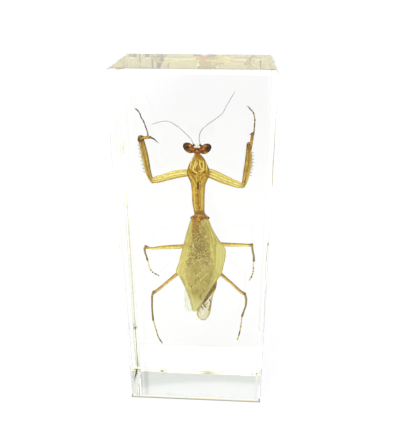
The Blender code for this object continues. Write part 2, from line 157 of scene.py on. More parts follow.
def fillRamp(tree, factor, stops):
    made = addNode(tree, "ShaderNodeValToRGB", {"Fac": factor})
    points = made.color_ramp.elements
    points.remove(points[1])
    points[0].position, points[0].color = stops[0]
    for position, colour in stops[1:]:
        points.new(position).color = colour
    return made.outputs["Color"]


def rampMask(tree, factor, stops):
    return fillRamp(tree, factor, [(at, (level, level, level, 1)) for at, level in stops])


def rampPair(tree, first, firstStops, second, secondStops):
    ends = (first, firstStops), (second, secondStops)
    return math(tree, "MULTIPLY", *[rampMask(tree, factor, stops) for factor, stops in ends])


def mixColours(tree, mask, first, second):
    mixed = addNode(tree, "ShaderNodeMix", {0: mask, 6: first, 7: second}, data_type="RGBA")
    return mixed.outputs[2]


def lookColour(tree, look):
    # a colour code, or (mask, stops of colour codes)
    if isinstance(look, str):
        return hexColour(look)
    mask, stops = look
    return fillRamp(tree, mask(tree), [(at, hexColour(code)) for at, code in stops])


def mark(name, low, high, level, look):
    # a layer laid where the piece's own mask rises from low to high
    return attributeMask(name), [(low, 0), (high, level)], look


def mottle(size, low, high, level, look, stretch=(1, 1, 1), detail=2.0):
    # a layer of soft patches of about this many millimetres
    return patchMask(size, stretch, detail), [(low, 0), (high, level)], look


def within(zone, pattern, stops, level, look, low=0.1, high=0.8):
    # a layer of a pattern, kept to where the piece's own mask rises from low to high
    def build(tree):
        return rampPair(tree, attributeMask(zone)(tree), [(low, 0), (high, 1)], pattern(tree), stops)
    return build, [(0, 0), (1, level)], look


def shellMaterial(name, base, layers=(), bumps=(), roughness=0.5, gloss=0.05, alpha=1.0):
    # a layer is (mask, stops, look); a bump is (mask, height in millimetres)
    material = bpy.data.materials.new(name)
    material.use_nodes = True
    tree = material.node_tree
    sockets = tree.nodes["Principled BSDF"].inputs
    sockets["Roughness"].default_value = roughness
    sockets["Specular IOR Level"].default_value = gloss
    sockets["Alpha"].default_value = alpha
    colour = lookColour(tree, base)
    for mask, stops, look in layers:
        colour = mixColours(tree, rampMask(tree, mask(tree), stops), colour, lookColour(tree, look))
    setSocket(tree, sockets["Base Color"], colour)
    normal = None
    for mask, height in bumps:
        inputs = {"Height": mask(tree), "Strength": 1.0, "Distance": height * millimetre}
        if normal:
            inputs["Normal"] = normal
        normal = addNode(tree, "ShaderNodeBump", inputs).outputs["Normal"]
    if normal:
        tree.links.new(normal, sockets["Normal"])
    return material


# Shape helpers. A part holds points, faces and masks, and some the outward way at each point.

def unit(vectors):
    return vectors / np.maximum(np.linalg.norm(vectors, axis=-1, keepdims=True), 1e-9)


def smoothRows(rows, count):
    # a smooth curve through rows of numbers whose first three are a place, evenly spaced
    rows = np.array(rows, float)
    gaps = np.linalg.norm(np.diff(rows[:, :3], axis=0), axis=1)
    at = np.concatenate([[0], np.cumsum(gaps)])
    slopes = np.gradient(rows, at, axis=0)
    want = np.linspace(0, at[-1], count + 1)
    i = np.clip(np.searchsorted(at, want, side="right") - 1, 0, len(at) - 2)
    span = (at[i + 1] - at[i])[:, None]
    t = (want - at[i])[:, None] / span
    return (
        rows[i] * (2 * t ** 3 - 3 * t ** 2 + 1) + rows[i + 1] * (3 * t ** 2 - 2 * t ** 3)
        + slopes[i] * span * (t ** 3 - 2 * t ** 2 + t) + slopes[i + 1] * span * (t ** 3 - t ** 2)
    )


def ringFaces(rings, sides):
    # quads between the rings, and fans to a pole at each end, whose points come last
    faces = []
    last = rings * sides
    top = last - sides
    for k in range(sides):
        j = (k + 1) % sides
        faces += [(r + k, r + sides + k, r + sides + j, r + j) for r in range(0, top, sides)]
        faces += [(last, k, j), (last + 1, top + j, top + k)]
    return faces


capTurns = np.radians([78, 52, 26])


def limb(rows, sides=20, steps=40, deep=(0, 1, 0), flip=1, profile=None, bulge=0.7):
    # a rounded limb through rows of (x, y, z, half-width, half-depth), round where the depth is left out
    path = smoothRows([row if len(row) == 5 else (*row, row[3]) for row in rows], steps)
    tangents = unit(np.gradient(path[:, :3], axis=0))
    across = unit(np.cross(tangents, deep))
    back = np.cross(across, tangents)
    index = np.concatenate([[0] * len(capTurns), np.arange(steps + 1), [steps] * len(capTurns)])
    shrink = np.concatenate([np.cos(capTurns), np.ones(steps + 1), np.cos(capTurns[::-1])])
    shift = np.concatenate([-np.sin(capTurns), np.zeros(steps + 1), np.sin(capTurns[::-1])])
    along = index / steps
    reach = path[index, 3] * bulge
    middles = path[index, :3] + tangents[index] * (shift * reach)[:, None]
    angles = np.linspace(0, 2 * np.pi, sides, endpoint=False)
    offsets = (
        across[index][:, None] * (path[index, 3] * shrink)[:, None, None] * np.cos(angles)[:, None]
        + back[index][:, None] * (path[index, 4] * shrink)[:, None, None] * np.sin(angles)[:, None]
    )
    if profile:
        offsets *= profile(angles[None, :], along[:, None])[..., None]
    points = (middles[:, None] + offsets).reshape(-1, 3)
    poles = [path[0, :3] - tangents[0] * reach[0], path[-1, :3] + tangents[-1] * reach[-1]]
    rings = len(index)
    return {
        "points": np.concatenate([points, poles]),
        "faces": ringFaces(rings, sides),
        "outward": np.concatenate([unit(offsets).reshape(-1, 3), [-tangents[0], tangents[-1]]]),
        "masks": {
            "along": np.concatenate([np.repeat(along, sides), [0, 1]]),
            "across": np.concatenate([np.tile(flip * np.cos(angles) / 2 + 0.5, rings), [0.5, 0.5]]),
        },
    }


def ball(middle, halfAxes, tilt=0, segments=32, rings=18):
    # an ellipsoid whose width is tilted in the viewer's plane; own holds its places on a unit ball
    turn = radians(tilt)
    rise = np.linspace(-np.pi / 2, np.pi / 2, rings + 1)[1:-1]
    angles = np.linspace(0, 2 * np.pi, segments, endpoint=False)
    own = np.stack([
        (np.cos(rise)[:, None] * np.cos(angles)).ravel(),
        (np.cos(rise)[:, None] * np.sin(angles)).ravel(),
        np.repeat(np.sin(rise), segments),
    ], axis=1)
    own = np.concatenate([own, [(0, 0, -1), (0, 0, 1)]])
    x, y, z = (own * np.array(halfAxes)).T
    points = np.stack([
        x * np.cos(turn) + z * np.sin(turn), y, z * np.cos(turn) - x * np.sin(turn),
    ], axis=1) + np.array(middle)
    return {"points": points, "faces": ringFaces(len(rise), segments), "own": own,
            "outward": unit(own / halfAxes), "masks": {}}


def joinParts(parts):
    names = sorted({name for part in parts for name in part["masks"]})
    faces = []
    start = 0
    for part in parts:
        faces += [tuple(corner + start for corner in face) for face in part["faces"]]
        start += len(part["points"])
    masks = {
        name: np.concatenate([part["masks"].get(name, np.zeros(len(part["points"]))) for part in parts])
        for name in names
    }
    return np.concatenate([part["points"] for part in parts]), faces, masks


def turnOutward(mesh):
    bm = bmesh.new()
    bm.from_mesh(mesh)
    bmesh.ops.recalc_face_normals(bm, faces=bm.faces)
    bm.to_mesh(mesh)
    bm.free()


def finishPiece(thing, nodes=("mantis",)):
    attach(thing, "root")
    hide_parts(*nodes)
    return thing


def makePiece(name, parts, material):
    points, faces, masks = joinParts(parts)
    mesh = bpy.data.meshes.new(name)
    mesh.from_pydata((points * millimetre).tolist(), [], faces)
    for mask, values in masks.items():
        mesh.attributes.new(mask, "FLOAT", "POINT").data.foreach_set("value", values.astype(np.float32))
    turnOutward(mesh)
    mesh.shade_smooth()
    mesh.materials.append(material)
    return finishPiece(placeThing(name, mesh))


def lineDistance(points, line):
    # how far each point is from a line of (x, z) places, as the viewer sees them
    flat = points[:, [0, 2]]
    line = np.array(line, float)
    nearest = np.full(len(flat), 1e9)
    for start, end in zip(line, line[1:]):
        way = end - start
        share = np.clip((flat - start) @ way / (way @ way), 0, 1)
        nearest = np.minimum(nearest, np.linalg.norm(flat - start - share[:, None] * way, axis=1))
    return nearest


def softStep(values, low, high):
    t = np.clip((values - low) / (high - low), 0, 1)
    return t * t * (3 - 2 * t)


def softLines(points, lines, width):
    # soft marks of this half-width along lines of (x, z) places
    return np.clip(sum(np.exp(-(lineDistance(points, line) / width) ** 2) for line in lines), 0, 1)


def stains(x, z, places):
    # soft round patches at (x, z), each with its half-width, half-height and strength
    marks = [
        level * np.exp(-((x - a) / wide) ** 2 - ((z - b) / high) ** 2)
        for a, b, wide, high, level in places
    ]
    return np.clip(sum(marks), 0, 1)


def towardViewer(part):
    return softStep(-part["outward"][:, 1], -0.1, 0.3)


def stainMasks(part, shape, *names):
    # the soft patches that the piece's own table holds under these names, on its front only
    x, y, z = part["points"].T
    toward = towardViewer(part)
    part["masks"].update({name: stains(x, z, shape[name]) * toward for name in names})


# Geometry Nodes: a tube along each path, ringed into joints, and a row of spines.

def newTree(name, sockets):
    tree = bpy.data.node_groups.new(name, "GeometryNodeTree")
    tree.is_modifier = True
    for way in ("INPUT", "OUTPUT"):
        tree.interface.new_socket("Geometry", in_out=way, socket_type="NodeSocketGeometry")
    for label, kind in sockets:
        tree.interface.new_socket(label, in_out="INPUT", socket_type="NodeSocket" + kind)
    return tree, addNode(tree, "NodeGroupInput").outputs


def endTree(tree, geometry, material):
    smooth = addNode(tree, "GeometryNodeSetShadeSmooth", {0: geometry})
    real = addNode(tree, "GeometryNodeRealizeInstances", {0: smooth.outputs[0]})
    dressed = addNode(tree, "GeometryNodeSetMaterial", {0: real.outputs[0], "Material": material})
    addNode(tree, "NodeGroupOutput", {0: dressed.outputs[0]})
    return tree


def evenCurve(tree, geometry, count):
    curve = addNode(tree, "GeometryNodeMeshToCurve", {0: geometry}).outputs[0]
    return addNode(tree, "GeometryNodeResampleCurve", {"Curve": curve, "Count": count}).outputs[0]


def buildTubeTree():
    tree, given = newTree("jointedTube", [
        ("Base Radius", "Float"), ("Tip Radius", "Float"), ("Joints", "Float"), ("Joint Depth", "Float"),
        ("Sides", "Int"), ("Samples", "Int"), ("Material", "Material"),
    ])
    even = evenCurve(tree, given["Geometry"], given["Samples"])
    along = addNode(tree, "GeometryNodeSplineParameter").outputs["Factor"]
    marked = addNode(
        tree, "GeometryNodeStoreNamedAttribute", {"Geometry": even, "Name": "along", "Value": along},
        data_type="FLOAT", domain="POINT",
    ).outputs[0]
    change = math(tree, "SUBTRACT", given["Tip Radius"], given["Base Radius"])
    radius = math(tree, "ADD", given["Base Radius"], math(tree, "MULTIPLY", along, change))
    wave = math(tree, "PINGPONG", math(tree, "MULTIPLY", along, given["Joints"]), 0.5)
    waist = math(tree, "POWER", math(tree, "SUBTRACT", 1.0, math(tree, "MULTIPLY", wave, 2.0)), 6.0)
    squeeze = math(tree, "SUBTRACT", 1.0, math(tree, "MULTIPLY", waist, given["Joint Depth"]))
    thick = addNode(tree, "GeometryNodeInputNamedAttribute", {"Name": "thick"}, data_type="FLOAT")
    size = math(tree, "MULTIPLY", math(tree, "MULTIPLY", radius, squeeze), thick.outputs["Attribute"])
    ring = addNode(tree, "GeometryNodeCurvePrimitiveCircle", {"Resolution": given["Sides"], "Radius": 1.0})
    tube = addNode(tree, "GeometryNodeCurveToMesh", {
        "Curve": marked, "Profile Curve": ring.outputs[0], "Scale": size, "Fill Caps": True,
    }).outputs[0]
    return endTree(tree, tube, given["Material"])


def buildSpineTree():
    tree, given = newTree("spineRow", [
        ("Count", "Int"), ("Length", "Float"), ("Radius", "Float"), ("Tip Radius", "Float"),
        ("Lean", "Vector"), ("Short Share", "Float"), ("Material", "Material"),
    ])
    even = evenCurve(tree, given["Geometry"], given["Count"])
    cone = addNode(tree, "GeometryNodeMeshCone", {
        "Vertices": 8, "Side Segments": 3, "Radius Top": given["Tip Radius"],
        "Radius Bottom": given["Radius"], "Depth": given["Length"],
    }).outputs["Mesh"]
    turn = addNode(tree, "FunctionNodeAlignRotationToVector", {"Vector": given["Lean"]}, axis="Z").outputs[0]
    odd = math(tree, "MODULO", addNode(tree, "GeometryNodeInputIndex").outputs[0], 2.0)
    cut = math(tree, "MULTIPLY", odd, math(tree, "SUBTRACT", 1.0, given["Short Share"]))
    row = addNode(tree, "GeometryNodeInstanceOnPoints", {
        "Points": even, "Instance": cone, "Rotation": turn, "Scale": math(tree, "SUBTRACT", 1.0, cut),
    }).outputs[0]
    return endTree(tree, row, given["Material"])


tubeTree = buildTubeTree()
spineTree = buildSpineTree()


def pathMesh(name, paths, thickness=None):
    points = []
    edges = []
    thick = []
    for i, path in enumerate(paths):
        start = len(points)
        points += [tuple(value * millimetre for value in point[:3]) for point in path]
        edges += [(start + k, start + k + 1) for k in range(len(path) - 1)]
        thick += [thickness[i] if thickness else 1.0] * len(path)
    mesh = bpy.data.meshes.new(name)
    mesh.from_pydata(points, edges, [])
    mesh.attributes.new("thick", "FLOAT", "POINT").data.foreach_set("value", thick)
    return placeThing(name, mesh)


def growOn(thing, tree, values):
    # runs the tree on the path and keeps its result as a plain mesh
    modifier = thing.modifiers.new(tree.name, "NODES")
    modifier.node_group = tree
    for socket in tree.interface.items_tree:
        if socket.in_out == "INPUT" and socket.name in values:
            modifier[socket.identifier] = values[socket.name]
    graph = bpy.context.evaluated_depsgraph_get()
    thing.data = bpy.data.meshes.new_from_object(thing.evaluated_get(graph))
    thing.modifiers.remove(modifier)
    turnOutward(thing.data)
    return finishPiece(thing)


def growTubes(name, paths, material, base, tip, joints=0.0, depth=0.0, sides=8, samples=40, thickness=None):
    return growOn(pathMesh(name, paths, thickness), tubeTree, {
        "Base Radius": base * millimetre, "Tip Radius": tip * millimetre, "Joints": joints,
        "Joint Depth": depth, "Sides": sides, "Samples": samples, "Material": material,
    })


def growSpines(name, paths, material, count, length, radius, tip, lean, shortShare):
    return growOn(pathMesh(name, paths), spineTree, {
        "Count": count, "Length": length * millimetre, "Radius": radius * millimetre,
        "Tip Radius": tip * millimetre, "Lean": lean, "Short Share": shortShare, "Material": material,
    })


# The cast block

blockLook = {
    "edgeRadius": 1.5,
    "edgeSteps": 8,
    "ior": 1.55,
    "tint": (0.88, 0.9, 0.3, 1),
    "tintDensity": 5,  # per metre
    "roughness": 0,
}


def resinMaterial():
    material = bpy.data.materials.new("clearResin")
    material.use_nodes = True
    tree = material.node_tree
    shader = tree.nodes["Principled BSDF"]
    for socket, value in {
        "Base Color": (1, 1, 1, 1), "Roughness": blockLook["roughness"], "IOR": blockLook["ior"],
        "Transmission Weight": 1,
    }.items():
        shader.inputs[socket].default_value = value
    haze = addNode(tree, "ShaderNodeVolumeAbsorption", {
        "Color": blockLook["tint"], "Density": blockLook["tintDensity"],
    })
    tree.links.new(haze.outputs[0], tree.nodes["Material Output"].inputs["Volume"])
    return material


def makeBlock():
    halves = ("resin_front_half", "resin_back_half")
    corners = np.array([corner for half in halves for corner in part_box(half)])
    low, high = corners.min(axis=0), corners.max(axis=0)
    bm = bmesh.new()
    bmesh.ops.create_cube(bm, size=1)
    bmesh.ops.scale(bm, vec=high - low, verts=bm.verts)
    bmesh.ops.translate(bm, vec=(high + low) / 2, verts=bm.verts)
    bmesh.ops.bevel(
        bm, geom=bm.edges[:], offset=blockLook["edgeRadius"] * millimetre,
        segments=blockLook["edgeSteps"], profile=0.5, affect="EDGES",
    )
    bmesh.ops.recalc_face_normals(bm, faces=bm.faces)
    mesh = bpy.data.meshes.new("resinBlock")
    bm.to_mesh(mesh)
    bm.free()
    mesh.shade_smooth()
    mesh.materials.append(resinMaterial())
    thing = placeThing("resinBlock", mesh)
    keepFlat = thing.modifiers.new("flatFaces", "WEIGHTED_NORMAL")
    keepFlat.keep_sharp = True
    graph = bpy.context.evaluated_depsgraph_get()
    thing.data = bpy.data.meshes.new_from_object(thing.evaluated_get(graph))
    thing.modifiers.remove(keepFlat)
    return finishPiece(thing, halves)


makeBlock()
print("resin block made")


# Head

headShape = {
    "rows": (
        (0.92, -3.3, 87.2, 0.95, 0.5), (0.92, -2.9, 87.35, 1.7, 1.05), (0.9, -2, 87.5, 2.35, 1.35),
        (0.9, -0.8, 87.4, 2.3, 1.18), (0.92, 0.7, 87.25, 1.6, 0.95), (0.95, 1.9, 87.25, 0.9, 0.8),
        (0.95, 2.7, 87.25, 0.5, 0.5),
    ),
    "face": (0.93, 88.72, 1.22, 0.78),  # middle x and z, half-width, half-height of the pale face
    "cross": (((0.2, 89.1), (0.9, 88.65), (1.55, 88.25)), ((1.65, 89.1), (0.95, 88.65), (0.3, 88.25))),
    "brow": (((0.3, 87.42), (0.52, 87.74), (0.92, 87.92), (1.32, 87.74), (1.54, 87.42)),),
    "vertex": ((0.92, 87.15, 0.6, 0.34, 1), (0.9, 86.75, 0.4, 0.2, 0.8)),
    "cheekLines": (((-0.5, 86.7), (0.1, 87.2), (0.35, 87.6)), ((2.3, 86.6), (1.7, 87.2), (1.45, 87.6))),
    "faceMarks": ((0.93, 89.02, 0.34, 0.2, 1), (0.4, 88.55, 0.2, 0.24, 0.8), (1.46, 88.55, 0.2, 0.24, 0.8),
                  (-0.2, 88.2, 0.25, 0.35, 0.8), (2.05, 88.2, 0.25, 0.35, 0.8)),
    "sockets": ((-0.02, 88.6, 0.27, 0.32, 1), (1.87, 88.6, 0.27, 0.32, 1)),
    "ocelli": ((0.6, 87.2), (0.95, 87.52), (1.28, 87.18)),
    "ocellusRadius": 0.16,
}


def faceFront(x, z):
    # how far towards the viewer the head capsule stands at a place on it
    rows = smoothRows(headShape["rows"], 80)
    inside = ((x - rows[:, 0]) / rows[:, 3]) ** 2 + ((z - rows[:, 2]) / rows[:, 4]) ** 2 < 1
    return rows[inside, 1].min() if inside.any() else -2


def makeHead():
    part = limb(headShape["rows"], sides=64, steps=48, deep=(0, 0, 1), bulge=0.5)
    points = part["points"]
    x, z, wide, high = headShape["face"]
    pale = 1 - softStep(np.hypot((points[:, 0] - x) / wide, (points[:, 2] - z) / high), 0.78, 1.05)
    pale *= 1 - softStep(points[:, 1], -1.3, -0.5)
    cross = softLines(points, headShape["cross"], 0.16)
    brow = softLines(points, headShape["brow"], 0.17)
    cheek = softLines(points, headShape["cheekLines"], 0.12)
    toward = towardViewer(part)
    stainMasks(part, headShape, "vertex", "faceMarks", "sockets")
    height = 0.06 * pale + 0.06 * pale * cross - 0.1 * brow - 0.06 * cheek
    part["points"] = points + part["outward"] * (height * toward)[:, None]
    part["masks"].update({
        "pale": pale, "cross": cross * pale, "brow": np.clip(brow + 0.6 * cheek, 0, 1) * toward,
    })
    material = shellMaterial(
        "headShell", "96520a",
        layers=[
            mottle(0.4, 0.46, 0.58, 0.8, "c07a14", detail=3),
            mottle(0.3, 0.5, 0.62, 0.9, "491b02", detail=3),
            mark("vertex", 0.2, 0.8, 0.95, "d08c1c"),
            mark("pale", 0.2, 0.7, 1, "e3d6ae"),
            mark("faceMarks", 0.1, 0.8, 0.95, "5f4214"),
            mark("cross", 0.2, 0.7, 1, "fffdf4"),
            within("pale", patchMask(0.28), [(0.5, 0), (0.66, 0.7)], 0.7, "a8823f", low=0.4),
            mark("sockets", 0.25, 0.75, 1, "4e1c02"),
            mark("brow", 0.2, 0.6, 1, "140500"),
        ],
        bumps=[(patchMask(0.25), 0.04)],
    )
    makePiece("headCapsule", [part], material)


eyeShape = {
    "left": ((-1.46, -1.7, 87.7), 37, -1),
    "right": ((3.22, -1.7, 87.5), -35, 1),
    "halfAxes": (1.88, 1.7, 1.3),
    # soft marks: (x, z, half-width, half-height, strength)
    "dark": (
        (-1.85, 88.15, 0.42, 0.48, 1), (-2.8, 88.3, 0.26, 0.8, 1), (-2.3, 89.15, 0.6, 0.22, 0.8),
        (-2.7, 87.4, 0.35, 0.35, 0.9), (-0.35, 88, 0.25, 0.4, 0.8), (-1.9, 87.35, 0.5, 0.2, 0.5),
        (-0.7, 87.1, 0.45, 0.3, 0.7), (-1.3, 89.15, 0.4, 0.14, 0.7), (-1.35, 88.1, 0.08, 0.5, 0.7),
        (3.85, 87.9, 0.38, 0.48, 1), (4.5, 88.1, 0.24, 0.8, 1), (4, 88.95, 0.6, 0.2, 0.8),
        (4.3, 87, 0.4, 0.35, 0.9), (2.25, 87, 0.5, 0.32, 0.8), (3.2, 87.35, 0.5, 0.2, 0.5),
        (3, 89, 0.5, 0.14, 0.7), (3.3, 88.1, 0.08, 0.5, 0.8), (2.15, 88, 0.2, 0.4, 0.7),
    ),
    # pale patches and painted highlights; the brightest two, high on the inner side of each eye, are painted
    # highlights
    "light": (
        (-1.05, 88.55, 0.3, 0.36, 1), (-0.85, 87.7, 0.3, 0.3, 0.6), (-1.3, 86.62, 0.6, 0.18, 0.8),
        (-2.38, 88.2, 0.1, 0.45, 0.6), (-1.7, 88.75, 0.3, 0.12, 0.6), (-1.5, 87, 0.3, 0.15, 0.5),
        (3, 88.6, 0.34, 0.3, 1), (2.65, 87.8, 0.32, 0.4, 0.7), (3.4, 86.7, 0.7, 0.18, 0.9),
        (4.2, 88.2, 0.08, 0.45, 0.6), (3.55, 88.5, 0.12, 0.3, 0.6), (2.9, 87.1, 0.3, 0.15, 0.5),
    ),
}


def makeEyes():
    parts = []
    for middle, tilt, outer in (eyeShape["left"], eyeShape["right"]):
        part = ball(middle, eyeShape["halfAxes"], tilt, segments=56, rings=36)
        own = part["own"]
        side = own[:, 0] * outer
        spread = np.hypot(own[:, 0], own[:, 2])
        part["masks"] = {
            "side": np.clip(0.5 + 0.5 * side + 0.1 * own[:, 2], 0, 1),
            "rim": softStep(spread, 0.84, 0.99),
        }
        stainMasks(part, eyeShape, "dark", "light")
        parts.append(part)
    material = shellMaterial(
        "compoundEye", (attributeMask("side"), [
            (0, "8a4a0a"), (0.28, "a0600e"), (0.5, "8e5410"), (0.68, "734010"), (1, "54290a"),
        ]),
        layers=[
            mottle(0.28, 0.48, 0.6, 0.6, "5a2604", (1.8, 1, 0.8), 3),
            # pale patches and painted highlights
            mark("light", 0.15, 0.9, 0.95, "d99a3a"),
            mark("dark", 0.15, 0.8, 1, "220900"),
            mark("rim", 0.1, 0.9, 0.85, "4a1c02"),
        ],
        bumps=[(cellMask(0.06), 0.008)], gloss=0.03,
    )
    makePiece("compoundEyes", parts, material)


def makeOcelli():
    radius = headShape["ocellusRadius"]
    parts = []
    for x, z in headShape["ocelli"]:
        parts.append(ball((x, faceFront(x, z) - 0.02, z), (radius,) * 3, segments=16, rings=10))
    material = shellMaterial(
        "ocellusGlass", "3a1400",
        layers=[mottle(0.12, 0.45, 0.7, 0.6, "7a3c08")], roughness=0.3, gloss=0.1,
    )
    makePiece("ocelli", parts, material)


feelerShape = {
    "left": (
        (0, -2.6, 88.72), (-0.6, -2.5, 90.1), (-2.4, -2.4, 92.1), (-4.8, -2.2, 94.1),
        (-6.3, -2, 95), (-7.6, -1.9, 95.3), (-9.2, -1.8, 95.1), (-11.6, -1.6, 94.3),
    ),
    "right": (
        (1.84, -2.6, 88.72), (1.5, -2.5, 90.4), (1.75, -2.3, 92.1), (2.5, -2.2, 93.35),
        (3.9, -2, 94.6), (6.8, -1.8, 96.7), (8, -1.6, 97.8), (8.7, -1.5, 99.2), (11.2, -1.2, 103.5),
    ),
    "tube": {"base": 0.12, "tip": 0.085, "joints": 46, "depth": 0.3, "sides": 8, "samples": 280},
    "socket": 0.25,
    # how far along the feeler each ring of its socket lies, and its share of the radius
    "socketRings": ((-0.35, 1.25), (-0.1, 1.3), (0.05, 0.8), (0.25, 0.85), (0.55, 0.6)),
}


def makeFeelers():
    paths = [smoothRows(feelerShape[side], 120) for side in ("left", "right")]
    thread = shellMaterial(
        "feelerThread", (attributeMask("along"), [
            (0, "d6cc9c"), (0.08, "b8b6a6"), (0.3, "a6a7a5"), (1, "a9abaa"),
        ]),
        layers=[mottle(0.2, 0.4, 0.7, 0.4, "868680")],
    )
    growTubes("feelers", paths, thread, **feelerShape["tube"])
    bases = []
    for side in ("left", "right"):
        start = np.array(feelerShape[side][0])
        way = unit(np.array(feelerShape[side][1]) - start)
        radius = feelerShape["socket"]
        rows = [(*(start + way * step), radius * size) for step, size in feelerShape["socketRings"]]
        bases.append(limb(rows, sides=16, steps=16))
    socket = shellMaterial(
        "feelerSocket", (attributeMask("along"), [
            (0, "3a1200"), (0.68, "4a1c04"), (0.82, "c9b988"), (1, "cfc39a"),
        ]),
        layers=[mottle(0.15, 0.45, 0.7, 0.4, "4a1f04")],
    )
    makePiece("feelerBases", bases, socket)


mouthShape = {
    "plates": (
        ((0.92, 0.6, 87.9, 0.85, 0.3), (0.95, 1.5, 87.65, 0.7, 0.28), (0.95, 2.4, 87.3, 0.48, 0.22)),
        ((0.3, 1.9, 87.1, 0.42, 0.4), (0.45, 2.7, 87.15, 0.36, 0.36), (0.75, 3.1, 87.35, 0.18, 0.2)),
        ((1.6, 1.9, 87.1, 0.42, 0.4), (1.45, 2.7, 87.15, 0.36, 0.36), (1.15, 3.1, 87.35, 0.18, 0.2)),
    ),
    "palps": (
        ((0.2, 2.2, 86.9), (-0.3, 2.9, 86.5), (-0.4, 3.3, 85.8), (-0.1, 3.4, 85.1)),
        ((1.7, 2.2, 86.9), (2.2, 2.9, 86.5), (2.3, 3.3, 85.8), (2, 3.4, 85.1)),
        ((0.6, 2.4, 86.8), (0.5, 3.1, 86.4), (0.4, 3.4, 85.9)),
        ((1.3, 2.4, 86.8), (1.4, 3.1, 86.4), (1.5, 3.4, 85.9)),
    ),
    "palpTube": {"base": 0.17, "tip": 0.12, "joints": 4, "depth": 0.45, "sides": 10, "samples": 48},
}


def makeMouth():
    parts = [limb(rows, sides=20, steps=16) for rows in mouthShape["plates"]]
    brown = shellMaterial(
        "mouthShell", (attributeMask("along"), [(0, "b98b4a"), (0.7, "9a652c"), (1, "5a3012")]),
        layers=[mottle(0.3, 0.45, 0.65, 0.6, "7d4f22")], bumps=[(patchMask(0.2), 0.03)],
    )
    makePiece("mouthParts", parts, brown)
    palps = [smoothRows(path, 24) for path in mouthShape["palps"]]
    growTubes("palps", palps, brown, **mouthShape["palpTube"])


makeHead()
makeEyes()
makeOcelli()
makeFeelers()
makeMouth()
print("head made")


# Neck and shield

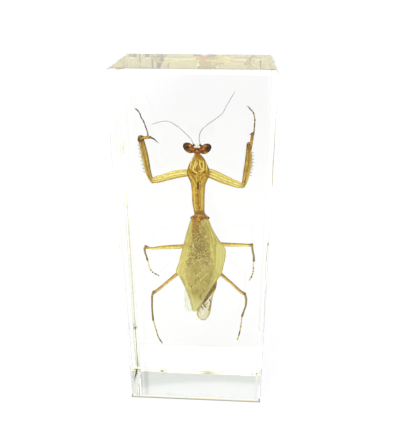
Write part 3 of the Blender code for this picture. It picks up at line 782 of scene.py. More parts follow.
shieldShape = {
    "neck": (
        (0.9, -1.4, 86.9, 0.95, 0.8), (0.87, -1.1, 85.9, 0.82, 0.75), (0.92, -0.9, 85, 0.95, 0.8),
    ),
    "rows": (
        (0.87, -0.75, 85.5, 0.9, 0.7), (1.03, -0.75, 84.3, 1.7, 1.05), (1.08, -0.75, 82.3, 2.65, 1.35),
        (1.1, -0.75, 80.9, 3.05, 1.45), (1.08, -0.75, 79.7, 3.12, 1.5), (1.08, -0.75, 78.3, 2.68, 1.4),
        (1.05, -0.75, 76.9, 2.15, 1.3), (1.05, -0.7, 74.4, 1.86, 1.2), (1.08, -0.65, 70.2, 1.73, 1.1),
        (1.25, -0.6, 68.2, 1.55, 1.1), (1.42, -0.5, 66.5, 1.5, 1.1),
    ),
    # raised pale ridges and sunken dark grooves on its back, as (x, z) lines
    "ridges": (
        ((0.55, 83.9), (0, 82.6), (-0.29, 81.4), (0.05, 80.7), (0.73, 80.4)),
        ((0.96, 83.4), (0.4, 82.3), (0.46, 81.5)),
        ((1.85, 82.7), (1.78, 82.1), (2.45, 81.5), (2.67, 81.3), (1.98, 81), (1.49, 80.9)),
        ((2.54, 83.8), (2.67, 82.5), (2.67, 81.8)),
        ((1.6, 84), (1.58, 83.2), (1.55, 82.7)),
        ((-0.6, 84.3), (-0.95, 83), (-1.15, 81.6)),
        ((3.25, 83.6), (3.5, 82.4), (3.55, 81.2)),
    ),
    "faintRidges": (
        ((-1, 79.2), (-0.5, 78.3), (0, 77.2), (0.3, 76.2)), ((3.1, 79), (2.5, 78.2), (2, 77)),
        ((0.2, 79.6), (0.6, 78.6), (0.7, 77.6)), ((1.1, 80.4), (0.9, 79.4)), ((1.9, 79.4), (1.75, 78.2)),
        ((1.25, 86), (0.75, 84.7)), ((2.4, 80.1), (2.9, 79.7)), ((0, 85), (-0.5, 83.8)),
    ),
    "faintGrooves": (
        ((-0.94, 79.9), (-0.35, 79), (0.3, 78.1), (0.9, 77.2)),
        ((3.21, 79.9), (2.66, 79.3), (1.82, 78.4), (1.3, 77.5)),
        ((-0.5, 78.8), (-0.25, 77.4), (-0.1, 76)), ((2.6, 78.6), (2.5, 77.2), (2.35, 76)),
        ((-0.9, 84.2), (-1.35, 82.6), (-1.6, 81)), ((3.1, 84.2), (3.6, 82.6), (3.85, 81)),
    ),
    "grooves": (
        ((0.75, 82.2), (0.53, 81.6), (0.9, 80.9)),
        ((-0.7, 80.7), (-0.3, 80.3), (0.2, 79.9)),
        ((3.3, 80.8), (2.9, 80.4), (2.3, 80)),
        ((2.2, 83.2), (2.1, 82.2)),
    ),
    "midline": (((1.1, 77.4), (1.04, 76.5), (1.1, 75.4)),),
    "keel": (((1.1, 75.4), (1.03, 73.3), (1.07, 70.9), (1.1, 68.4)),),
    # soft patches: (x, z, half-width, half-height, strength)
    "amber": (
        (1.35, 78.3, 0.25, 0.5, 0.9), (0.65, 81.8, 0.25, 0.4, 0.7), (3.1, 80.2, 0.3, 0.3, 0.8),
        (1.5, 84.4, 0.7, 0.4, 0.7), (2.2, 69.2, 0.5, 0.8, 0.4), (2.5, 79.2, 0.25, 0.6, 0.5),
    ),
    "dim": (
        (-0.5, 80.45, 0.32, 0.32, 1), (3, 80.6, 0.3, 0.3, 1), (0.62, 82.15, 0.3, 0.3, 0.9),
        (0.3, 81.5, 0.22, 0.3, 0.8), (2, 81.95, 0.28, 0.2, 0.9), (1.15, 79.7, 0.18, 0.4, 0.7),
        (1.1, 83, 0.14, 1.1, 0.6), (0.75, 85, 0.3, 0.2, 0.8), (1.6, 84.9, 0.35, 0.2, 0.7),
        (0.9, 73.4, 0.3, 0.5, 0.5), (1.25, 72.8, 0.25, 0.4, 0.45), (0.8, 70.6, 0.2, 0.7, 0.5),
        (1.3, 69.3, 0.25, 0.35, 0.6), (0.75, 74.6, 0.35, 0.3, 0.4), (-0.45, 79.2, 0.15, 0.5, 0.4),
        (2, 79.3, 0.15, 0.4, 0.6), (1.1, 67.9, 0.6, 0.25, 0.9), (1.5, 67.2, 0.35, 0.25, 0.8),
    ),
    # painted highlights down both sides of the shield's narrow part, laid on a faint raised band
    "bands": (
        ((-0.3, 78.2), (-0.08, 76), (-0.04, 73), (0, 70.1), (0.3, 68.6)),
        ((2.6, 78.2), (2.3, 76), (2.15, 73), (2.1, 70.4), (2.2, 68.8)),
    ),
    # half-width of these lines, and how far they stand out
    "relief": {
        "ridges": (0.17, 0.16), "grooves": (0.17, -0.13), "faintRidges": (0.15, 0.06),
        "faintGrooves": (0.15, -0.06), "midline": (0.26, -0.06), "keel": (0.16, 0.16), "bands": (0.3, 0.05),
    },
}


def makeShield():
    def flange(angles, along):
        # a thin raised rim down both sides
        rim = np.exp(-((1 - np.abs(np.cos(angles))) / 0.05) ** 2)
        teeth = 0.5 + 0.5 * np.sin(along * 190)
        return 1 + rim * (0.035 + 0.018 * teeth)

    part = limb(shieldShape["rows"], sides=88, steps=150, profile=flange, bulge=0.4)
    points = part["points"]
    masks = part["masks"]
    stainMasks(part, shieldShape, "amber", "dim")
    height = 0
    for name, (width, rise) in shieldShape["relief"].items():
        masks[name] = softLines(points, shieldShape[name], width) * towardViewer(part)
        height = height + rise * masks[name]
    masks["edge"] = softStep(np.abs(masks["across"] - 0.5) * 2, 0.92, 0.995)
    masks["foot"] = 1 - softStep(points[:, 2], 67, 69.2)
    part["points"] = points + part["outward"] * height[:, None]
    material = shellMaterial(
        "shieldShell", "c69a1a",
        layers=[
            mottle(0.8, 0.44, 0.58, 0.8, "a47508", (0.8, 1, 2), 3),
            mottle(0.45, 0.5, 0.6, 0.75, "e2c04c", (0.9, 1, 1.8), 3),
            mottle(0.3, 0.53, 0.63, 0.8, "7d5204", (1, 1, 1.5), 3),
            # painted side highlights
            mark("bands", 0.15, 0.85, 0.85, "e2c656"),
            mark("faintGrooves", 0.2, 0.85, 0.75, "825606"),
            mark("faintRidges", 0.2, 0.85, 0.75, "e8cc60"),
            mark("amber", 0.1, 0.8, 0.9, "cf8c08"),
            mark("dim", 0.1, 0.8, 0.9, "6e3f02"),
            mark("ridges", 0.2, 0.8, 1, "f7e07a"),
            mark("keel", 0.3, 0.9, 0.5, "9c7414"),
            mark("grooves", 0.2, 0.85, 0.9, "693a00"),
            mark("midline", 0.2, 0.7, 1, "3c1c00"),
            mark("edge", 0.15, 0.9, 0.8, "74500a"),
            within("foot", patchMask(0.45), [(0.35, 0.2), (0.6, 1)], 0.85, "6d3f1a", high=0.9),
        ],
        bumps=[(patchMask(0.22), 0.05), (cellMask(0.4), 0.02)],
    )
    makePiece("shield", [part], material)
    neck = limb(shieldShape["neck"], sides=36, steps=24,
                profile=lambda angles, along: 1 + 0.05 * np.sin(along * 16) + 0 * angles)
    skin = shellMaterial(
        "neckSkin", "b58a1c",
        layers=[mottle(0.35, 0.45, 0.62, 0.8, "855404"),
                (attributeMask("across"), [(0, 0.7), (0.2, 0), (0.8, 0), (1, 0.7)], "d2b65c")],
        bumps=[(patchMask(0.2), 0.05)],
    )
    makePiece("neck", [neck], skin)


makeShield()
print("shield made")


# Trunk: the thorax under the wings and the ringed abdomen

trunkShape = {
    "rows": (
        (1.4, -0.2, 67.4, 1.25, 0.95), (1.5, 0.1, 65.9, 2.1, 1.45), (1.5, 0.25, 62.5, 2.45, 2.05),
        (1.5, 0.25, 57.5, 2.65, 2.4), (1.45, 0.2, 54.2, 3.35, 2.5), (1.4, 0.15, 50.8, 4.6, 2.55),
        (1.25, 0.15, 47.8, 4.95, 2.55), (1.1, 0.15, 44, 4.15, 2.3), (0.8, 0.1, 39.5, 2.75, 1.8),
        (0.45, 0.05, 36, 1.4, 1.15),
    ),
    "segments": 13,
    "knobs": (
        ((0.3, -0.95, 66.1, 0.6, 0.55), (-0.6, -0.9, 65.9, 0.55, 0.5), (-1.2, -0.75, 65.6, 0.32)),
        ((2.7, -0.95, 66.2, 0.6, 0.55), (3.6, -0.9, 66, 0.55, 0.5), (4.2, -0.75, 65.7, 0.32)),
    ),
    "plate": (
        (1.35, -1.1, 67.1, 1.15, 0.5), (1.45, -1.5, 66.3, 1.5, 0.6), (1.4, -1.7, 65.5, 1.1, 0.55),
        (1.3, -1.8, 64.9, 0.5, 0.4),
    ),
    "tails": (
        ((-0.2, 0.4, 36.6), (-0.8, 0.8, 35), (-1, 1, 33.6)),
        ((1.1, 0.4, 36.6), (1.6, 0.8, 35), (1.7, 1, 33.6)),
    ),
    "tailTube": {"base": 0.3, "tip": 0.08, "joints": 9, "depth": 0.35, "sides": 10, "samples": 54},
}


def makeTrunk():
    def rings(angles, along):
        wave = along * trunkShape["segments"] % 1
        step = softStep(wave, 0, 0.85) - softStep(wave, 0.9, 1)
        return 1 + 0.035 * step + 0 * angles

    body = limb(trunkShape["rows"], sides=56, steps=170, profile=rings, bulge=0.5)
    wave = body["masks"]["along"] * trunkShape["segments"] % 1
    body["masks"]["seam"] = softStep(wave, 0.78, 0.97)
    body["masks"]["side"] = np.abs(body["masks"]["across"] - 0.5) * 2
    material = shellMaterial(
        "bellyShell", "a8934c",
        layers=[
            mottle(1.2, 0.4, 0.6, 0.7, "8d7838"),
            mark("side", 0.6, 0.95, 0.7, "c9b870"),
            mottle(0.4, 0.5, 0.68, 0.6, "6f5a26"),
            mark("seam", 0.3, 1, 0.75, "6a5224"),
        ],
        bumps=[(patchMask(0.3), 0.05)],
    )
    makePiece("trunk", [body], material)
    joints = [limb(rows, sides=24, steps=14) for rows in (*trunkShape["knobs"], trunkShape["plate"])]
    for knob in joints[:-1]:
        knob["masks"]["outer"] = softStep(knob["masks"]["along"], 0.72, 0.95)
    joint = shellMaterial(
        "wingJointShell", "b8860e",
        layers=[
            mottle(0.4, 0.45, 0.56, 0.95, "7d4a04", (0.8, 1, 1.8), 3),
            mottle(0.3, 0.5, 0.6, 0.9, "e6b440", (1, 1, 1.3), 3),
            mottle(0.28, 0.52, 0.62, 0.95, "4c2408", detail=3),
            mark("outer", 0, 1, 0.85, "5c5212"),
        ],
        bumps=[(patchMask(0.3), 0.08)],
    )
    makePiece("wingJoints", joints, joint)
    tails = [smoothRows(path, 20) for path in trunkShape["tails"]]
    growTubes("tails", tails, material, **trunkShape["tailTube"])


makeTrunk()
print("trunk made")


# Wing covers: (height, left edge, right edge, how far the crest and the edge stand out)

coverShape = {
    "rows": (
        (65.6, -1.1, 4, -1.6, -0.7), (61.5, -2.4, 5.6, -2.4, -0.6), (58, -3.3, 7.6, -2.7, -0.5),
        (55.2, -4, 9.3, -2.8, -0.3), (52.5, -4.7, 9.4, -2.9, -0.2), (49.5, -5.4, 8.9, -2.9, -0.1),
        (46.2, -6.3, 8.2, -2.8, 0), (44.6, -5.3, 7.3, -2.7, -0.1), (41.5, -3.9, 5.4, -2.4, -0.2),
        (38, -2.6, 3.5, -1.9, -0.3), (34.5, -1.7, 1.8, -1.4, -0.4), (31.9, -1.2, 0.2, -1.1, -0.6),
    ),
    "midline": ((31.9, 38, 45), (-0.6, 0.6, 1.35)),  # heights, and its x there
    "thickness": 0.14,
    "reach": {-1: 0.35, 1: 0.42},  # past the midline, as a share of the far side
    "lift": {-1: 0, 1: 0.3},
    # where the dark abdomen shows through: height, left, right
    "shade": (
        (66.5, -0.4, 3.6), (62, -0.7, 3.7), (57.9, -1.3, 4.2), (53, -2.1, 5), (50.8, -2.9, 5.9),
        (47.5, -3.4, 6.1), (45.5, -3, 5.4), (41.8, -2.3, 4.6), (38.8, -2, 2.9), (36.2, -1.3, 1.8),
        (34, -0.9, 0.9),
    ),
    # soft marks: (x, z, half-width, half-height, strength)
    # lighter patches, partly the cover's own pale spots and partly painted light
    "pale": (
        (-0.6, 56.8, 0.3, 0.85, 1), (-2.5, 54.7, 0.5, 1.2, 1), (-3, 53.5, 0.4, 0.5, 0.7),
        (3.4, 57.3, 0.3, 0.35, 0.7), (5.2, 55.5, 0.45, 1.1, 0.8), (5.6, 59, 0.25, 0.9, 0.8),
        (3.3, 60, 0.45, 0.45, 1), (-0.7, 41.8, 0.3, 0.25, 0.9), (0.3, 42.2, 0.3, 0.25, 0.8),
        (4.6, 51.2, 0.8, 1.8, 0.5), (3.4, 48.6, 0.8, 0.6, 0.35), (-2.2, 46.2, 0.7, 2.4, 0.5),
        (-4.4, 48.2, 0.8, 3, 0.6), (-3.6, 44, 0.6, 2.2, 0.5), (-1.6, 38.2, 0.35, 1.6, 0.7),
        (-0.6, 51, 0.4, 0.3, 0.7), (1.4, 51.6, 0.3, 0.3, 0.6),
        (0.2, 36, 0.9, 1.6, 0.6), (-3.6, 45.6, 0.3, 0.9, 0.6), (-1.2, 58.2, 0.25, 0.4, 0.6),
        (2.5, 59, 0.2, 0.3, 0.5), (2.1, 65, 0.4, 0.3, 0.5), (3.1, 64.8, 0.5, 0.7, 0.7),
    ),
    # darker patches, partly the cover's own mottling and partly painted shade
    "dim": (
        (2.9, 61.1, 0.6, 0.45, 1), (2.6, 62.5, 0.5, 0.6, 0.7), (1.6, 56.9, 0.9, 0.8, 0.9),
        (2, 55.4, 1.3, 1.6, 0.8), (0.6, 56.5, 0.6, 0.8, 0.7), (2.9, 58.6, 0.5, 0.4, 0.6),
        (0.2, 48.4, 1.5, 1.5, 0.6), (5, 46.4, 0.45, 1.8, 0.5), (4.2, 43.6, 0.5, 1.6, 0.5),
        (0.3, 53.5, 0.35, 0.35, 0.8), (0.5, 51, 0.3, 0.3, 0.7), (-0.4, 39.8, 1.4, 1.2, 0.6),
        (0.6, 40.7, 0.5, 0.5, 0.6), (3.3, 53.9, 0.3, 0.7, 0.6), (6.1, 53.2, 0.12, 3.2, 0.5),
    ),
    # olive-green patches; the low ones on the right, towards the tip, are painted shadow
    "green": (
        (1, 45.3, 0.28, 0.42, 1), (0.15, 44.5, 0.26, 0.42, 1), (0, 43.7, 0.28, 0.28, 0.9),
        (2.4, 44.6, 0.28, 0.3, 0.8), (-1.3, 41.8, 0.3, 0.35, 1), (0.1, 41.6, 0.3, 0.2, 0.7),
        (1.5, 38.3, 0.34, 0.9, 0.9),
        (1.9, 37, 0.3, 0.5, 0.7), (0.4, 47, 0.3, 0.3, 0.6), (1.6, 48.2, 0.25, 0.35, 0.6),
        (4.7, 52.4, 0.9, 1.4, 0.25),
        (-1.6, 51.6, 0.7, 1.2, 0.35), (1.3, 61, 0.2, 0.9, 0.7), (-2.2, 50, 0.5, 0.9, 0.5),
        (2.6, 40.2, 0.2, 0.8, 0.6), (3.4, 44.2, 0.3, 0.5, 0.5),
    ),
    "plum": ((3.25, 55, 0.22, 0.55, 0.9), (3, 53.3, 0.28, 0.28, 1), (2.3, 55.9, 0.3, 0.3, 0.5)),
    "basal": (
        (0.6, 65.6, 0.9, 0.7, 0.9), (-0.4, 64.8, 0.4, 0.9, 0.7), (1.4, 64.7, 0.4, 0.5, 0.9),
        (0.7, 66.6, 1.2, 0.4, 0.8),
    ),
    # lines drawn lengthwise on the left and right bands, as (x, z) places
    "paleLines": (
        ((-1, 64.5), (-1.7, 61), (-2.3, 57.5)), ((-1.5, 65), (-2.3, 61.5), (-3.1, 57.5)),
        ((3.4, 65.2), (4.4, 62.6), (5.3, 60), (5.8, 57.4)),
        ((4.5, 63.6), (5.6, 61), (6.6, 58.6), (7.4, 56.6)),
        ((4.6, 60.6), (4.9, 58.4), (5, 56.6)), ((-3.4, 50.5), (-4.2, 48.4), (-4.6, 46.2), (-3.9, 44)),
        ((-2.9, 49), (-3.5, 47), (-3.5, 44.6), (-2.6, 41.8)), ((-1.9, 41), (-1.4, 38.6), (-1, 36.4)),
        ((6.9, 47.6), (6.4, 45.4), (5.6, 43), (4.4, 40.6), (3, 38), (1.9, 35.8)),
        ((5.3, 44), (4.1, 41.6), (3, 39.6), (1.9, 37.6)),
        ((3.3, 49.7), (2.2, 48.3), (1.2, 47.1), (0.4, 46.1)),
        ((4.1, 47.3), (3, 46.1), (1.9, 44.9), (1.2, 44.1)),
    ),
    "dimLines": (
        ((-1.2, 63), (-1.9, 60), (-2.2, 57), (-2, 55)), ((-1.9, 63.6), (-2.7, 60), (-3.3, 56.6)),
        ((3.9, 63.6), (4.7, 61), (5.3, 58)), ((5.2, 61.4), (6.2, 58.8), (6.6, 57.2)),
        ((4.2, 59.8), (4.4, 57.6), (4.3, 55.6)), ((-3.8, 50.2), (-4.9, 47.4), (-4.6, 45), (-3.4, 42)),
        ((-2.7, 46.4), (-2.7, 44.2), (-1.9, 41.6)), ((6.2, 57.4), (6.1, 55), (6.15, 52), (6.3, 49.6)),
        ((6.2, 45.8), (5.2, 42.8), (3.7, 40), (2.4, 37.4)), ((5.7, 45.4), (4.7, 43), (3.4, 40.6), (2, 38.4)),
    ),
}
coverTable = smoothRows(coverShape["rows"], 240)


def coverPoint(side, s, t):
    # a place on a cover: s from its root to its tip, t from its inner to its outer edge
    s, t = np.broadcast_arrays(np.asarray(s, float), np.asarray(t, float))
    at = np.linspace(0, 1, len(coverTable))
    height, left, right, crest, edge = (np.interp(s, at, coverTable[:, k]) for k in range(5))
    middle = np.interp(height, *coverShape["midline"])
    inner = coverShape["reach"][side]
    share = -inner + (1 + inner) * t
    reach = {-1: middle - left, 1: right - middle}
    own = np.where(share > 0, reach[side], reach[-side])
    x = middle + side * share * own
    pleats = 0.03 * np.cos(t * 30) * np.sin(np.pi * np.clip(s, 0, 1))
    fold = 0.1 * np.exp(-((t - 0.8) / 0.03) ** 2)
    y = crest + (edge - crest) * share ** 2 - coverShape["lift"][side] + pleats - fold
    return np.stack([x, y, height], axis=-1)


def sheetPart(front, thickness, masks):
    # a thin closed plate from a grid of places on its front
    rows, columns = front.shape[:2]
    behind = front + np.array([0, thickness, 0])
    total = rows * columns
    faces = []
    for a in range(total - columns):
        if (a + 1) % columns:
            quad = (a, a + 1, a + columns + 1, a + columns)
            faces += [quad, tuple(corner + total for corner in quad[::-1])]
    rim = [*range(columns), *range(2 * columns - 1, total, columns)]
    rim += [*range(total - 2, total - columns - 1, -1), *range(total - 2 * columns, 0, -columns)]
    faces += [(b, a, a + total, b + total) for a, b in zip(rim, rim[1:] + rim[:1])]
    return {"points": np.concatenate([front.reshape(-1, 3), behind.reshape(-1, 3)]), "faces": faces,
            "masks": {name: np.tile(values.ravel(), 2) for name, values in masks.items()}}


def coverPart(side, rows=200, columns=110):
    s, t = np.meshgrid(np.linspace(0, 1, rows), np.linspace(0, 1, columns), indexing="ij")
    front = coverPoint(side, s, t)
    x, z = front[..., 0], front[..., 2]
    shade = np.array(coverShape["shade"])[::-1]
    wobble = 0.22 * np.sin(z * 2.3 + 2 * side) + 0.15 * np.sin(z * 5.1 + x * 2)
    left = np.interp(z, shade[:, 0], shade[:, 1])
    right = np.interp(z, shade[:, 0], shade[:, 2])
    inside = np.minimum(x - left, right - x) + wobble
    fromEdge = np.abs(coverPoint(side, s, np.ones_like(s))[..., 0] - x)
    net = softStep(z, 57.9, 59) * softStep(x, -1.1, -0.7) * (1 - softStep(x + 0.12 * (z - 58), 1.5, 2.2))
    stripes = 0.5 + 0.5 * np.cos(2 * np.pi * (fromEdge + 0.1 * np.sin(z * 0.7)) / 0.85)
    spotted = np.interp(z, (45, 49.5, 51, 54, 55, 58, 59), (0, 0.3, 1, 1, 0.5, 0.5, 0.2))
    masks = {
        "shade": softStep(inside, -0.5, 0.9) * softStep(z, 33, 38),
        "height": (z - 31.9) / (65.6 - 31.9),
        "edge": 1 - softStep(fromEdge, 0.08, 0.34),
        "rough": softStep(inside, -0.3, 0.9) * np.interp(z, (44, 49, 51.5), (0.15, 0.3, 1)),
        "bulge": softStep(x, 6.1, 6.7) * softStep(57.6 - z, 0, 1.2) * softStep(z, 45, 48.5),
        "net": net * softStep(66.5 - z, 0, 1.5),
        "netDots": net * (1 - 0.55 * softStep(z, 61, 62.5)) * (1 - softStep(z, 63.5, 65)),
        "stripes": stripes * (0.55 + 0.45 * np.sin(z * 0.9 + x * 3)),
        "spots": spotted * softStep(inside, 0.1, 1),
        "tip": 1 - softStep(z, 33, 38.5),
    }
    for name in ("pale", "dim", "green", "plum", "basal"):
        masks[name] = stains(x, z, coverShape[name])
    for name in ("paleLines", "dimLines"):
        lines = softLines(front.reshape(-1, 3), coverShape[name], 0.17).reshape(x.shape)
        masks[name] = lines * (0.75 + 0.25 * np.sin(z * 2.7 + x * 4))
    return sheetPart(front, coverShape["thickness"], masks)


def makeCovers():
    oval = (0.85, 1, 1.25)

    def dots(size, turn, loose, small, large):
        return cellMask(size, "F1", oval, turn, loose, flat=True), [(small, 1), (large, 0)]

    material = shellMaterial(
        "coverMembrane", (attributeMask("height"), [
            (0.1, "e2dc8a"), (0.3, "e4da7c"), (0.55, "e4d97a"), (0.72, "d2c45e"), (0.95, "cabb52"),
        ]),
        layers=[
            mottle(1.3, 0.42, 0.64, 0.7, "bdae48", (0.6, 1, 2.2)),
            mark("stripes", 0.3, 1, 0.6, "e8df88"),
            mark("bulge", 0.1, 0.9, 0.9, "e4dc84"),
            mark("shade", 0.05, 0.95, 1, (attributeMask("height"), [
                (0.08, "dad282"), (0.16, "cfc26c"), (0.22, "b9ab52"), (0.3, "bcac56"), (0.38, "b3a34c"),
                (0.48, "c0ab56"), (0.61, "b09c42"), (0.7, "907622"), (0.76, "8c721f"), (0.82, "98802a"),
                (0.9, "a68e38"), (0.98, "b8a34c"),
            ])),
            within("shade", patchMask(1.1, (0.6, 1, 2), 3, 35), [(0.46, 0), (0.6, 0.8)], 1, "cbbb68"),
            within("rough", patchMask(0.9, oval, 3, 35), [(0.47, 0), (0.6, 0.8)], 1, "c4b260"),
            within("rough", patchMask(0.5, oval, 3, -35), [(0.5, 0), (0.61, 0.6)], 1, "806c24"),
            # darker patches, partly painted shade
            mark("dim", 0.1, 0.9, 0.7, "846a1c"),
            # olive-green patches, the low right ones painted shadow
            mark("green", 0.12, 0.75, 0.9, "6c6e22"),
            mark("plum", 0.15, 0.9, 0.8, "75502c"),
            within("spots", *dots(0.86, 35, 0.8, 0.2, 0.36), 0.75, "6b5410"),
            within("spots", *dots(0.95, -35, 0.8, 0.16, 0.3), 0.75, "dccc80"),
            mark("net", 0.1, 0.9, 0.95, (attributeMask("height"), [
                (0.8, "b79c40"), (0.87, "ab8622"), (0.92, "a07616"), (1, "b58a28"),
            ])),
            mark("basal", 0.15, 0.85, 0.9, "ad7406"),
            within("basal", patchMask(0.4, (0.6, 1, 2.2), 3), [(0.46, 0), (0.56, 1)], 0.8, "7d4804"),
            within("netDots", *dots(0.72, 35, 0.5, 0.22, 0.4), 1, "422600"),
            within("netDots", *dots(0.72, -35, 0.7, 0.12, 0.26), 0.8, "e6cc66"),
            mark("dimLines", 0.2, 0.9, 0.8, "9a8d30"),
            mark("paleLines", 0.2, 0.9, 0.8, "ece194"),
            # lighter patches, partly painted light
            mark("pale", 0.15, 0.9, 0.9, "e4d484"),
            (cellMask(0.45, flat=True), [(0.02, 0.25), (0.09, 0)], "ddd080"),
            mark("edge", 0.1, 0.9, 0.8, "aea545"),
            mark("tip", 0.1, 0.9, 0.8, "e4e094"),
        ],
        bumps=[(cellMask(0.45, flat=True), 0.03), (patchMask(0.5), 0.04)],
    )
    for side, name in ((-1, "leftWingCover"), (1, "rightWingCover")):
        makePiece(name, [coverPart(side)], material)


veinShape = {
    "radius": 0.045,
    "lengthwise": ((0.985, 0.985, 1), (0.91, 0.93, 0.9), (0.8, 0.86, 1.3), (0.72, 0.8, 1)),
    "branches": 10,
    "crossings": 11,
    "costalCrossings": 34,
}


def coverVeins(side):
    paths = []
    thickness = []

    def lay(ss, ts, thick):
        path = coverPoint(side, np.array(ss), np.array(ts))
        path[:, 1] -= 0.01
        paths.append(path)
        thickness.append(thick)

    run = np.linspace(0, 1, 60)
    for start, end, thick in veinShape["lengthwise"]:
        lay(0.01 + 0.97 * run, start + (end - start) * run, thick)
    starts = np.linspace(0.04, 0.74, veinShape["branches"])

    def branch(i, q):
        return starts[i] + 0.24 * q ** 0.8, 0.72 + 0.06 * starts[i] - (0.69 + 0.06 * starts[i]) * q

    for i in range(len(starts)):
        q = np.linspace(0, 1, 30)
        lay(*branch(i, q), 0.85)
    for i in range(len(starts) - 1):
        for k in range(1, veinShape["crossings"]):
            q = (k + 0.25 * (-1) ** (i + k)) / veinShape["crossings"]
            (s0, t0), (s1, t1) = branch(i, q), branch(i + 1, q - 0.05)
            lay(np.linspace(s0, s1, 5), np.linspace(t0, t1, 5), 0.45)
    for k in range(veinShape["costalCrossings"]):
        s = 0.04 + 0.88 * k / veinShape["costalCrossings"]
        lay(np.linspace(s, s + 0.012, 4), np.linspace(0.82, 0.915, 4), 0.45)
        lay(np.linspace(s + 0.01, s + 0.018, 4), np.linspace(0.925, 0.98, 4), 0.4)
    return paths, thickness


def makeVeins():
    material = shellMaterial(
        "veinRib", "cfc26c",
        layers=[mottle(1.1, 0.4, 0.6, 0.9, "b3a24c"),
                mottle(0.45, 0.48, 0.62, 0.8, "94802f")],
    )
    for side, name in ((-1, "leftCoverVeins"), (1, "rightCoverVeins")):
        paths, thickness = coverVeins(side)
        radius = veinShape["radius"]
        growTubes(name, paths, material, radius, radius * 0.6, sides=6, samples=20, thickness=thickness)


makeCovers()
makeVeins()
print("wing covers made")


# Hind wings, folded under the covers and standing out below them

hindShape = {
    "right": (
        (45, 3, 6.9), (43, 2.6, 6.8), (40.2, 2, 6.4), (38, 1.5, 5.6), (36, 1.3, 5.3),
        (33.8, 1.1, 5.05), (32.2, 0.6, 4.9), (30.6, 0.15, 4.5), (29.4, 0.55, 4), (28.6, 1.1, 3.4),
        (28.1, 1.6, 2.9),
    ),
    "left": ((41.5, -3.4, 1.2), (38, -3.8, 1.4), (34.5, -3.8, 1.5), (32.4, -3.65, 1), (31.5, -2.8, 0.4)),
    "rightFront": -0.1,
    "leftFront": 0.1,
    "crown": 0.15,
    "thickness": 0.1,
    # the right limit of the brown strip as (x, z), and its soft marks as on the covers
    "stripEdge": (
        (7.2, 45), (6.9, 43.5), (6.75, 42), (6.6, 41), (6.3, 40.4), (5.5, 39.3), (5.1, 38.5), (4.5, 37.5),
        (3.9, 36.5), (3.4, 35.8), (3.1, 35.2), (2.7, 34.8), (2, 34.3),
    ),
    "grey": ((4.75, 39.4, 0.3, 0.6, 1), (3.9, 38.4, 0.35, 0.5, 0.8), (5.2, 41.2, 0.25, 0.4, 0.6),
             (3.4, 37.6, 0.3, 0.4, 0.7)),
    "gold": ((3.1, 34.3, 0.4, 0.5, 1), (3.7, 34.9, 0.3, 0.4, 0.9), (2.6, 33.6, 0.25, 0.35, 0.8)),
    # dark lines below the strip, as (x, z) places
    "arms": (
        ((1.9, 34.6), (1.65, 33.8), (1.9, 33.2), (2.3, 32.6)), ((2.4, 34.6), (2.9, 33.8), (3.2, 33.2)),
        ((4.4, 36.4), (4.9, 35.2), (4.7, 34), (4.15, 32.2)),
    ),
    "ribs": 9,
    "crossRibs": (0.62, 0.7, 0.78, 0.86, 0.93),
    "ribTube": {"base": 0.035, "tip": 0.025, "sides": 6, "samples": 30},
}


def hindPoint(name, s, t):
    table = smoothRows(hindShape[name], 120)
    at = np.linspace(0, 1, len(table))
    s, t = np.broadcast_arrays(np.asarray(s, float), np.asarray(t, float))
    height, left, right = (np.interp(s, at, table[:, k]) for k in range(3))
    x = left + (right - left) * t
    pleat = 0.05 * np.cos(t * 24)
    y = hindShape[name + "Front"] - hindShape["crown"] * np.sin(np.pi * t) + pleat
    return np.stack([x, y, height], axis=-1)


def hindPart(name, rows=90, columns=44):
    s, t = np.meshgrid(np.linspace(0, 1, rows), np.linspace(0, 1, columns), indexing="ij")
    front = hindPoint(name, s, t)
    x, z = front[..., 0], front[..., 2]
    limit = np.array(hindShape["stripEdge"])[::-1]
    strip = softStep(np.interp(z, limit[:, 1], limit[:, 0]) - x, -0.12, 0.16) * softStep(z, 34.2, 34.6)
    flat = front.reshape(-1, 3)
    armNear = np.min([lineDistance(flat, arm) for arm in hindShape["arms"]], axis=0).reshape(x.shape)
    rim = np.minimum(np.minimum(t, 1 - t) * 5, (1 - s) * 16)
    masks = {
        "strip": strip * (name == "right"),
        "arm": (1 - softStep(armNear, 0.1, 0.3)) * (name == "right"),
        "grey": stains(x, z, hindShape["grey"]),
        "gold": stains(x, z, hindShape["gold"]),
        "rim": 1 - softStep(rim, 0.3, 1),
    }
    return sheetPart(front, hindShape["thickness"], masks)


